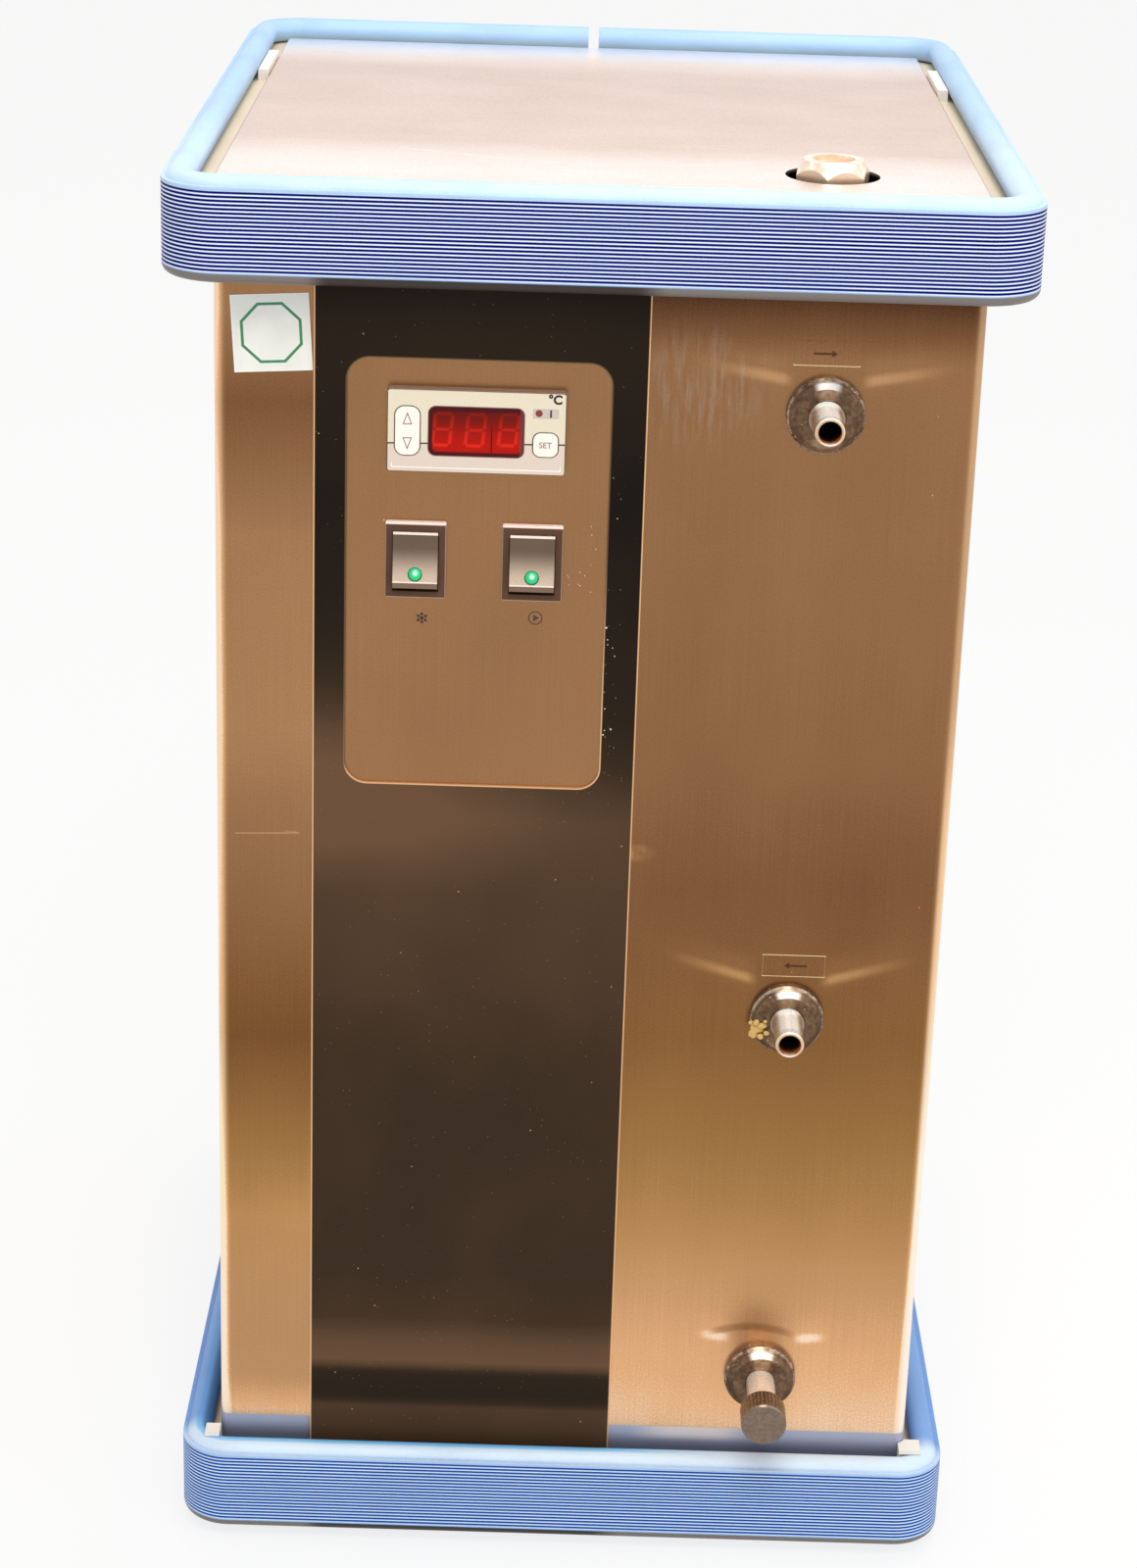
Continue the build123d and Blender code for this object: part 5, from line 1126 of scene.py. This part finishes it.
@dataclass
class SwitchMarks:
    """Printed signs under the switches: a snow crystal and a pump."""

    crystal: tuple[float, float] = (-73.9, 464.4)
    pump: tuple[float, float] = (-24.0, 466.0)
    radius: float = 2.9
    bar: float = 0.55
    thickness: float = 0.04

    def build(self) -> None:
        """Makes both signs."""
        ink = MouldedFinish("sign_ink", tone(70, 47, 32), 0.5, 0.4, 0.002, 0.15).material()
        self.crystal_sign(ink)
        self.pump_sign(ink)

    def bar_at(self, middle: tuple[float, float], length: float, turn: float) -> bpy.types.Object:
        """Flat bar with bevelled ends on the front sheet.

        Args:
            middle: Its middle, as x and z.
            length: Its length.
            turn: Angle from the upright, in degrees.

        Returns:
            The bar.
        """
        start_piece()
        centre = spot(middle[0], -self.thickness / 2, middle[1])
        bpy.ops.mesh.primitive_cube_add(size=1.0, location=centre)
        piece = bpy.context.object
        piece.scale = (self.bar * MM, self.thickness * MM, length * MM)
        piece.rotation_euler = (0.0, math.radians(turn), 0.0)
        bpy.ops.object.transform_apply(location=True, rotation=True, scale=True)
        bpy.ops.object.mode_set(mode="EDIT")
        bpy.ops.mesh.select_all(action="SELECT")
        bpy.ops.mesh.bevel(offset=0.012 * MM, segments=1)
        bpy.ops.object.mode_set(mode="OBJECT")
        return piece

    def join(self, pieces: Sequence[bpy.types.Object], name: str, ink: bpy.types.Material) -> None:
        """Joins the parts of a sign.

        Args:
            pieces: The parts.
            name: Name of the sign.
            ink: Its material.
        """
        bpy.ops.object.select_all(action="DESELECT")
        for piece in pieces:
            piece.select_set(True)
        bpy.context.view_layer.objects.active = pieces[0]
        bpy.ops.object.join()
        settle(bpy.context.object, name, "chiller", ink)

    def crystal_sign(self, ink: bpy.types.Material) -> None:
        """Three crossing bars with short barbs near their ends."""
        bars = []
        for turn in (0.0, 60.0, 120.0):
            bars.append(self.bar_at(self.crystal, 2 * self.radius, turn))
            for sign in (-1, 1):
                angle = math.radians(turn)
                reach = sign * self.radius * 0.62
                place = (self.crystal[0] + reach * math.sin(angle), self.crystal[1] + reach * math.cos(angle))
                bars.append(self.bar_at(place, self.radius * 0.55, turn + 90.0))
        self.join(bars, "cooling_sign", ink)

    def pump_sign(self, ink: bpy.types.Material) -> None:
        """Ring with a triangle in it."""
        start_piece()
        centre = spot(self.pump[0], -self.thickness / 2, self.pump[1])
        bpy.ops.mesh.primitive_torus_add(
            location=centre, rotation=(math.pi / 2, 0.0, 0.0), major_segments=40, minor_segments=8,
            major_radius=self.radius * MM, minor_radius=self.bar / 2 * MM)
        ring = bpy.context.object
        bpy.ops.object.transform_apply(location=False, rotation=True, scale=True)
        bpy.ops.object.mode_set(mode="EDIT")
        bpy.ops.mesh.select_all(action="SELECT")
        bpy.ops.transform.resize(value=(1.0, self.thickness / self.bar, 1.0), center_override=centre)
        bpy.ops.object.mode_set(mode="OBJECT")
        start_piece()
        bpy.ops.mesh.primitive_cylinder_add(
            vertices=3, radius=self.radius * 0.62 * MM, depth=self.thickness * MM, location=centre,
            rotation=(math.pi / 2, 0.0, math.radians(30)))
        wedge = bpy.context.object
        wedge.rotation_euler = (math.pi / 2, math.pi / 2, 0.0)
        bpy.ops.object.transform_apply(location=False, rotation=True, scale=True)
        bpy.ops.object.mode_set(mode="EDIT")
        bpy.ops.mesh.select_all(action="SELECT")
        bpy.ops.mesh.bevel(offset=0.012 * MM, segments=1)
        bpy.ops.object.mode_set(mode="OBJECT")
        self.join([ring, wedge], "pump_sign", ink)


@dataclass
class PortLook:
    """Two hose ports and the drain port, with film labels and old sealant."""

    label_middles: tuple[tuple[float, float], ...] = ((97.8, 588.7), (98.5, 302.8))
    label_size: tuple[float, float] = (28.8, 10.9)
    label_thickness: float = 0.12
    sealant: tuple[float, float, float] = (82.8, -7.4, 274.4)
    sealant_scale: float = 1.25
    port_places: tuple[tuple[float, float], ...] = ((98.5, 562.0), (96.5, 277.0), (93.5, 88.6))
    flange_radius: float = 17.0
    first_crest: float = -20.8
    barb_pitch: float = 5.0
    casing: CasingLook = field(default_factory=CasingLook)

    def flange(self, name: str, middle: tuple[float, float]) -> bpy.types.Material:
        """Turned brown flange with rings, painted highlights at its top, bottom and chamfer, and pale specks.

        Args:
            name: Name of the finish.
            middle: The port's middle, as x and z.

        Returns:
            The material.
        """
        shader = Shader(name)
        away = disc(shader.x - middle[0], shader.z - middle[1], 0.0)
        wear = shader.noise((2.4, 2.4, 2.4), 4.0, 0.65)
        fine = shader.noise((0.5, 0.5, 0.5), 2.0)
        rings = (away * 4.2 + wear * 1.5).math("SINE")
        upward = (shader.z - middle[1]) / away.most(0.1)
        chamfer = away.ramp(12.8, 13.3) * away.ramp(15.8, 15.2)
        # Painted highlight at the top of the turned face, and a weaker one at its bottom.
        fan_highlight = upward.ramp(0.86, 0.99)
        level = 0.3 + rings * 0.1 + (wear - 0.5) * 0.7 + fan_highlight * 0.3 + (0 - upward).ramp(0.7, 1.0) * 0.25
        colour = shader.tones(level, (
            (0.0, tone(50, 36, 26)), (0.3, tone(98, 74, 54)), (0.6, tone(150, 120, 92)), (1.0, tone(224, 198, 168))))
        # Painted highlight on the top of the chamfer.
        colour = shader.mix(colour, tone(254, 244, 230), chamfer * upward.ramp(0.9, 0.985))
        lips = outline(away - self.flange_radius + 0.5, 0.9).most(-1.0).ink(0.3) * wear.ramp(0.35, 0.65)
        colour = shader.mix(colour, tone(206, 188, 168), lips * 0.6)
        specks = shader.specks(2.0, 0.3, 0.12) + shader.specks(2.6, 0.42, 0.4) * away.ramp(13.0, 16.5)
        colour = shader.mix(colour, tone(236, 226, 206), specks.least(1))
        shader.relief(wear, 0.03)
        return shader.finish(
            Base_Color=colour, Metallic=0.75 - specks.least(1) * 0.75, Roughness=0.34 + (fine - 0.5) * 0.2)

    def nipple(self, name: str, middle: tuple[float, float]) -> bpy.types.Material:
        """Bright turned nipple, brown below and in its bore, with painted highlights, reflections and shade.

        Args:
            name: Name of the finish.
            middle: The port's middle, as x and z.

        Returns:
            The material.
        """
        shader = Shader(name)
        stains = shader.noise((2.5, 1.5, 2.5), 3.0)
        marks = shader.noise((6.0, 0.25, 6.0), 2.0)
        up = shader.z - middle[1]
        away = disc(shader.x - middle[0], up, 0.0)
        colour = shader.mix(tone(242, 218, 184), tone(255, 246, 226), ((stains - 0.3) * 1.8).most(0).least(1))
        # Painted shade on the flanks.
        flank_shading = abs(shader.x - middle[0]).ramp(3.0, 6.4) * shader.y.ramp(-30.8, -29.6)
        colour = shader.mix(colour, tone(122, 82, 54), flank_shading * 0.75)
        rings = abs((shader.y - self.first_crest).repeat(self.barb_pitch)).ramp(0.9, 0.2) * shader.y.ramp(-26.5, -25.5)
        colour = shader.mix(colour, tone(150, 112, 84), rings * 0.6)
        # Browner towards the bottom: stains mixed with painted reflection.
        colour = shader.mix(colour, tone(158, 104, 72), up.ramp(-1.5, -5.5) * (0.4 + stains * 0.8))
        # Painted highlight along the top.
        colour = shader.mix(colour, tone(255, 252, 244), (up / away.most(0.1)).ramp(0.6, 0.95) * away.ramp(4.5, 5.4))
        # Painted highlight on the lower part of the end face.
        rim = shader.mix(tone(218, 176, 134), tone(255, 246, 230), up.ramp(-2.5, -5.0))
        colour = shader.mix(colour, rim, shader.y.ramp(-30.5, -30.9))
        # Painted light and shade in the bore: orange low down, dark deep inside and high up, with a painted highlight
        # on its lower lip.
        bore = away.ramp(5.35, 5.1)
        depth = shader.y.ramp(-30.8, -24.0)
        bore_light_and_shade = shader.mix(tone(232, 150, 92), tone(70, 42, 28), depth.most(up.ramp(-4.0, 4.0) * 0.8))
        bore_light_and_shade = shader.mix(bore_light_and_shade, tone(255, 232, 204), up.ramp(-4.0, -4.9) * shader.y.ramp(-28.0, -30.0))
        colour = shader.mix(colour, bore_light_and_shade, bore)
        shader.relief(marks, 0.01)
        return shader.finish(Base_Color=colour, Metallic=0.2, Roughness=0.22 + stains * 0.12)

    def plug(self) -> bpy.types.Material:
        """Bronze-brown knurled plug with a painted highlight on the top of its neck."""
        shader = Shader("plug_bronze")
        up = shader.z - self.port_places[2][1]
        stains = shader.noise((2.0, 2.0, 2.0), 3.0)
        marks = shader.noise((1.5, 1.5, 1.5), 2.0)
        colour = shader.mix(tone(104, 90, 76), tone(180, 162, 142), ((marks - 0.35) * 1.6).most(0).least(1))
        neck = shader.y.ramp(-33.0, -31.5)
        # Painted highlight on the top of the neck.
        colour = shader.mix(colour, tone(250, 234, 214), neck * up.ramp(-1.0, 4.5))
        face = shader.y.ramp(-45.0, -45.6)
        colour = shader.mix(colour, tone(124, 106, 92), face * (0.8 - stains * 0.3))
        shader.relief(marks, 0.01)
        return shader.finish(
            Base_Color=colour, Metallic=0.8 - neck * 0.5, Roughness=0.28 + (stains - 0.5) * 0.15)

    def film(self, name: str, middle: tuple[float, float], inward: bool) -> bpy.types.Material:
        """Clear film over the steel with an arrow printed on it and painted highlights along its edges.

        Args:
            name: Name of the finish.
            middle: The film's middle, as x and z.
            inward: Whether the arrow points towards the port.

        Returns:
            The material.
        """
        shader, colour, streaks = self.casing.shader(name)
        x, z = shader.x - middle[0], shader.z - middle[1]
        sense = 1 if inward else -1
        shaft = panel(x + sense * 1.2, z, 9.5, 1.0, 0.1)
        head = (abs(z) - (4.6 - x * sense) * 0.62).most(2.0 - x * sense)
        colour = shader.mix(colour, tone(70, 48, 34), shaft.least(head).ink(0.15) * 0.8)
        # Painted highlights on the film's edges: the lower edge of the inlet label, and all edges of the outlet label,
        # strongest top and bottom.
        edge = outline(panel(x, z, *self.label_size, 0.2) + 0.15, 0.35).ink(0.12)
        share = edge * (z.ramp(-4.6, -5.2) if inward else abs(z).ramp(4.6, 5.2) * 0.8 + 0.15)
        colour = shader.mix(colour, tone(254, 228, 178), share)
        return shader.finish(Base_Color=colour, Metallic=1.0, Roughness=0.28 + (streaks - 0.5) * 0.1)

    def label(self, name: str, middle: tuple[float, float], inward: bool) -> None:
        """Film label with rounded edges on the front sheet.

        Args:
            name: Name of the piece.
            middle: Its middle, as x and z.
            inward: Whether its arrow points towards the port.
        """
        start_piece()
        centre = spot(middle[0], -self.label_thickness / 2, middle[1])
        bpy.ops.mesh.primitive_cube_add(size=1.0, location=centre)
        piece = bpy.context.object
        piece.scale = (self.label_size[0] * MM, self.label_thickness * MM, self.label_size[1] * MM)
        bpy.ops.object.transform_apply(location=True, rotation=True, scale=True)
        bpy.ops.object.mode_set(mode="EDIT")
        bpy.ops.mesh.select_all(action="SELECT")
        bpy.ops.mesh.bevel(offset=self.label_thickness * 0.4 * MM, segments=2)
        bpy.ops.object.mode_set(mode="OBJECT")
        settle(piece, name, "chiller", self.film(f"{name}_film", middle, inward))

    def lump(self, centre: Vector, size: tuple[float, float, float], seed: int) -> bpy.types.Object:
        """One lump of dried sealant.

        Args:
            centre: Its middle.
            size: Its length on each axis, in millimetres.
            seed: Seed of its uneven skin.

        Returns:
            The lump.
        """
        start_piece()
        bpy.ops.mesh.primitive_ico_sphere_add(subdivisions=3, radius=0.5 * MM, location=centre)
        piece = bpy.context.object
        bpy.ops.object.mode_set(mode="EDIT")
        bpy.ops.mesh.select_all(action="SELECT")
        bpy.ops.transform.resize(value=size, center_override=centre)
        bpy.ops.transform.vertex_random(offset=0.12 * min(size) * MM, uniform=0.0, normal=1.0, seed=seed)
        bpy.ops.mesh.vertices_smooth(factor=0.5, repeat=1)
        bpy.ops.object.mode_set(mode="OBJECT")
        bpy.ops.object.shade_smooth()
        return piece

    def sealant_lumps(self) -> None:
        """Lumps of old sealant beside the outlet port."""
        x, y, z = self.sealant
        rows = (
            (0.0, 0.0, 0.0, 5.2, 2.4, 4.4), (-1.8, -0.4, -2.6, 3.6, 2.0, 3.6), (2.2, -1.4, 1.9, 3.4, 2.2, 2.6),
            (-0.6, -1.8, 3.6, 2.4, 1.8, 2.6), (1.6, -2.0, -3.2, 2.4, 1.8, 2.2), (4.2, -3.0, -1.0, 2.2, 1.6, 1.8),
            (3.4, -2.6, 4.6, 1.4, 1.2, 1.4), (-2.8, 1.4, 2.0, 2.0, 1.8, 1.8))
        lumps = [
            self.lump(
                spot(x + row[0], y + row[1], z + row[2]), tuple(side * self.sealant_scale for side in row[3:]), seed)
            for seed, row in enumerate(rows, start=1)]
        bpy.ops.object.select_all(action="DESELECT")
        for piece in lumps:
            piece.select_set(True)
        bpy.context.view_layer.objects.active = lumps[0]
        bpy.ops.object.join()
        putty = MouldedFinish(
            "sealant_putty", tone(246, 194, 112), 0.5, 0.7, 0.15, 0.35, 0.7, tone(255, 246, 220)).material()
        settle(bpy.context.object, "sealant_lumps", "chiller", putty)

    def build(self) -> None:
        """Dresses the ports and adds the labels and the sealant."""
        for port, middle in zip(("inlet", "outlet", "drain"), self.port_places):
            dress([f"{port}_flange"], self.flange(f"{port}_flange_metal", middle))
        for port, middle in zip(("inlet", "outlet"), self.port_places):
            dress([f"{port}_nipple"], self.nipple(f"{port}_nipple_steel", middle))
        dress(["drain_plug"], self.plug())
        brass = TurnedFinish("lock_nut_brass", tone(168, 120, 62), tone(232, 190, 118), 0.3)
        dress(["port_lock_nuts"], brass.material())
        rubber = MouldedFinish("seal_rubber", tone(34, 32, 31), 0.6, 0.4, 0.02, 0.2)
        dress(["drain_seal", "filler_seal"], rubber.material())
        self.label("inlet_label", self.label_middles[0], True)
        self.label("outlet_label", self.label_middles[1], False)
        self.sealant_lumps()


@dataclass
class FillerLook:
    """Polished hexagonal filler cap, with painted shade in its top recess and a painted highlight round its head."""

    middle: tuple[float, float] = (101.0, 72.0)
    top: float = 659.0

    def build(self) -> None:
        """Dresses the cap."""
        shader = Shader("cap_metal")
        wear = shader.noise((5.0, 5.0, 5.0), 4.0, 0.6)
        away = disc(shader.x - self.middle[0], shader.y - self.middle[1], 0.0)
        colour = shader.mix(tone(236, 212, 188), tone(255, 248, 234), wear.ramp(0.3, 0.65))
        cone = self.top - (away - 13.0) * 1.5
        flat = (cone - shader.z).ramp(0.2, 0.9) * away.ramp(12.0, 12.6)
        colour = shader.mix(colour, tone(214, 178, 146), flat * 0.8)
        # Painted shade in the top recess.
        colour = shader.mix(colour, tone(240, 216, 190), away.ramp(9.8, 9.3) * shader.z.ramp(self.top - 0.4, self.top - 1.4))
        # Painted highlight: a bright ring round the head.
        colour = shader.mix(colour, tone(255, 252, 244), outline(away - 12.8, 0.7).ink(0.3) * 0.8)
        shader.relief(wear, 0.04)
        dress(["filler_cap"], shader.finish(Base_Color=colour, Metallic=0.55, Roughness=0.24 + wear * 0.12))


@dataclass
class InnerWorksLook:
    """Plain finishes of everything inside the casing and behind it."""

    def build(self) -> None:
        """Dresses the inner nodes."""
        steel = SheetFinish("tank_steel", tone(130, 128, 124), tone(205, 203, 198), 0.36, Grain.ACROSS, 0.5, 40.0)
        dress(["tank"], steel.material())
        natural = MouldedFinish("natural_plastic", tone(214, 212, 200), 0.5, 0.6, 0.02, 0.1)
        dress(["tank_cover", "pump_impeller"], natural.material())
        probe = TurnedFinish("probe_steel", tone(120, 118, 114), tone(214, 212, 206), 0.22, (0.4, 0.4, 3.0), 0.3)
        dress(["temperature_probe"], probe.material())
        black = MouldedFinish("pump_plastic", tone(46, 46, 48), 0.45, 0.5, 0.02, 0.2)
        dress(["pump_housing", "fan_blades"], black.material())
        paint = MouldedFinish("motor_paint", tone(62, 70, 76), 0.4, 0.8, 0.03, 0.15)
        dress(["pump_motor", "fan_motor"], paint.material())
        shell = MouldedFinish("compressor_paint", tone(26, 26, 27), 0.28, 1.2, 0.04, 0.2)
        dress(["compressor"], shell.material())
        rubber = MouldedFinish("hose_rubber", tone(38, 37, 36), 0.62, 0.5, 0.03, 0.2, 0.08)
        dress(["suction_hose", "supply_hose", "return_hose", "drain_hose", "compressor_mounts"], rubber.material())
        copper = TurnedFinish("copper_tube", tone(150, 84, 56), tone(232, 158, 118), 0.28, (3.0, 3.0, 3.0), 0.6)
        dress([
            "evaporator_coil", "condenser_coil", "filter_drier", "liquid_lines", "suction_line",
            "discharge_line"], copper.material())
        fins = SheetFinish("fin_aluminium", tone(160, 162, 166), tone(222, 224, 228), 0.35, Grain.UPRIGHT, 0.5, 20.0)
        dress(["condenser_fins"], fins.material())
        socket = MouldedFinish("socket_plastic", tone(28, 28, 29), 0.4, 0.5, 0.02, 0.15)
        dress(["power_socket"], socket.material())


@dataclass
class Studio:
    """Pale floor, pale surroundings and soft lamps."""

    floor_size: float = 12.0
    floor_level: float = 0.93
    ambient: float = 0.66

    def floor(self) -> None:
        """Large pale floor that keeps the chiller's shadow."""
        start_piece()
        bpy.ops.mesh.primitive_plane_add(size=self.floor_size, location=(0.0, 0.0, 0.0))
        piece = bpy.context.object
        bpy.ops.object.mode_set(mode="EDIT")
        bpy.ops.mesh.select_all(action="SELECT")
        bpy.ops.mesh.subdivide(number_cuts=3)
        bpy.ops.object.mode_set(mode="OBJECT")
        piece.name = "studio_floor"
        shader = Shader("floor_white")
        rays = shader.node("ShaderNodeLightPath")
        seen = Value(shader, rays.outputs["Is Camera Ray"])
        seen = seen.most(Value(shader, rays.outputs["Is Glossy Ray"])).most(
            Value(shader, rays.outputs["Is Transmission Ray"]))
        white = shader.node("ShaderNodeEmission", sockets={"Color": tone(255, 255, 255), "Strength": 1.0})
        blend = shader.node("ShaderNodeMixShader", sockets={
            0: seen * 0.8, 1: shader.surface.outputs["BSDF"], 2: white.outputs["Emission"]})
        output = next(node for node in shader.tree.nodes if node.type == "OUTPUT_MATERIAL")
        shader.tree.links.new(blend.outputs["Shader"], output.inputs["Surface"])
        cloud = shader.noise((400.0, 400.0, 400.0), 2.0)
        piece.data.materials.append(shader.finish(
            Base_Color=shader.mix(grey(self.floor_level - 0.02), grey(self.floor_level), cloud), Roughness=0.6))
        LOG.info("floor built")

    def surroundings(self) -> None:
        """White world that lights the chiller softly."""
        world = bpy.data.worlds.new("studio_white")
        bpy.context.scene.world = world
        world.use_nodes = True
        tree = world.node_tree
        tree.nodes.clear()
        rays = tree.nodes.new("ShaderNodeLightPath")
        either = tree.nodes.new("ShaderNodeMath")
        either.operation = "MAXIMUM"
        third = tree.nodes.new("ShaderNodeMath")
        third.operation = "MAXIMUM"
        tree.links.new(rays.outputs["Is Camera Ray"], either.inputs[0])
        tree.links.new(rays.outputs["Is Glossy Ray"], either.inputs[1])
        tree.links.new(either.outputs[0], third.inputs[0])
        tree.links.new(rays.outputs["Is Transmission Ray"], third.inputs[1])
        soft = tree.nodes.new("ShaderNodeBackground")
        soft.inputs["Color"].default_value = (1.0, 0.99, 0.97, 1.0)
        soft.inputs["Strength"].default_value = self.ambient
        white = tree.nodes.new("ShaderNodeBackground")
        white.inputs["Color"].default_value = (1.0, 1.0, 1.0, 1.0)
        white.inputs["Strength"].default_value = 1.0
        blend = tree.nodes.new("ShaderNodeMixShader")
        output = tree.nodes.new("ShaderNodeOutputWorld")
        tree.links.new(third.outputs[0], blend.inputs[0])
        tree.links.new(soft.outputs[0], blend.inputs[1])
        tree.links.new(white.outputs[0], blend.inputs[2])
        tree.links.new(blend.outputs[0], output.inputs["Surface"])
        LOG.info("surroundings built")

    def lamp(self, name: str, place: Vector, size: float, power: float) -> None:
        """Soft square lamp that faces the chiller.

        Args:
            name: Its name.
            place: Its place, in metres.
            size: Its side, in metres.
            power: Its power.
        """
        data = bpy.data.lights.new(name, "AREA")
        data.size = size
        data.energy = power
        lamp = bpy.data.objects.new(name, data)
        bpy.context.scene.collection.objects.link(lamp)
        lamp.location = place
        lamp.rotation_euler = (Vector((0.0, 0.0, 0.35)) - place).to_track_quat("-Z", "Y").to_euler()
        LOG.info("%s built", name)

    def build(self) -> None:
        """Makes the floor, the surroundings and the lamps."""
        self.floor()
        self.surroundings()
        self.lamp("key_lamp", Vector((0.0, -1.6, 2.4)), 0.9, 21.0)
        self.lamp("fill_lamp", Vector((1.6, -1.4, 1.6)), 1.6, 10.0)
        self.lamp("top_lamp", Vector((0.2, 0.3, 2.6)), 0.8, 13.0)


@dataclass
class PhotoCamera:
    """Camera at the photograph's viewing angle.

    Attributes:
        place: Its place in the drawing frame.
        yaw, pitch, roll: Its angles in degrees: to the right, downwards, and clockwise.
        focal_share: Focal length over the picture's height.
    """

    place: tuple[float, float, float] = (-11.3, -1437.2, 936.3)
    yaw: float = 0.17
    pitch: float = 20.87
    roll: float = 1.83
    focal_share: float = 3502 / 1600

    def build(self) -> None:
        """Makes the camera and gives it to the scene."""
        yaw, pitch, roll = (math.radians(angle) for angle in (self.yaw, self.pitch, self.roll))
        ahead = Vector((math.sin(yaw) * math.cos(pitch), math.cos(yaw) * math.cos(pitch), -math.sin(pitch)))
        right = Vector((math.cos(yaw), -math.sin(yaw), 0.0))
        down = ahead.cross(right)
        across = math.cos(roll) * right - math.sin(roll) * down
        below = math.sin(roll) * right + math.cos(roll) * down
        data = bpy.data.cameras.new("photo_camera")
        data.sensor_width = 36.0
        data.lens = self.focal_share * data.sensor_width
        data.clip_start = 0.05
        data.clip_end = 50.0
        camera = bpy.data.objects.new("photo_camera", data)
        bpy.context.scene.collection.objects.link(camera)
        turned = Matrix((across, -below, -ahead)).transposed().to_4x4()
        camera.matrix_world = Matrix.Translation(spot(*self.place)) @ turned
        bpy.context.scene.camera = camera
        LOG.info("camera built")


def main() -> None:
    """Builds every part of the scene in order."""
    logging.basicConfig(level=logging.INFO, format="%(name)s: %(message)s")
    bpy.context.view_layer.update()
    bpy.context.scene.view_settings.view_transform = "Standard"
    sections = (
        PhotoCamera(), Studio(), CasingLook(), LidLook(), FasciaLook(), BumperLook(), StickerLook(),
        ControllerLook(), SwitchLook(), SwitchMarks(), PortLook(), FillerLook(), InnerWorksLook())
    for section in sections:
        section.build()


if __name__ == "__main__":
    main()
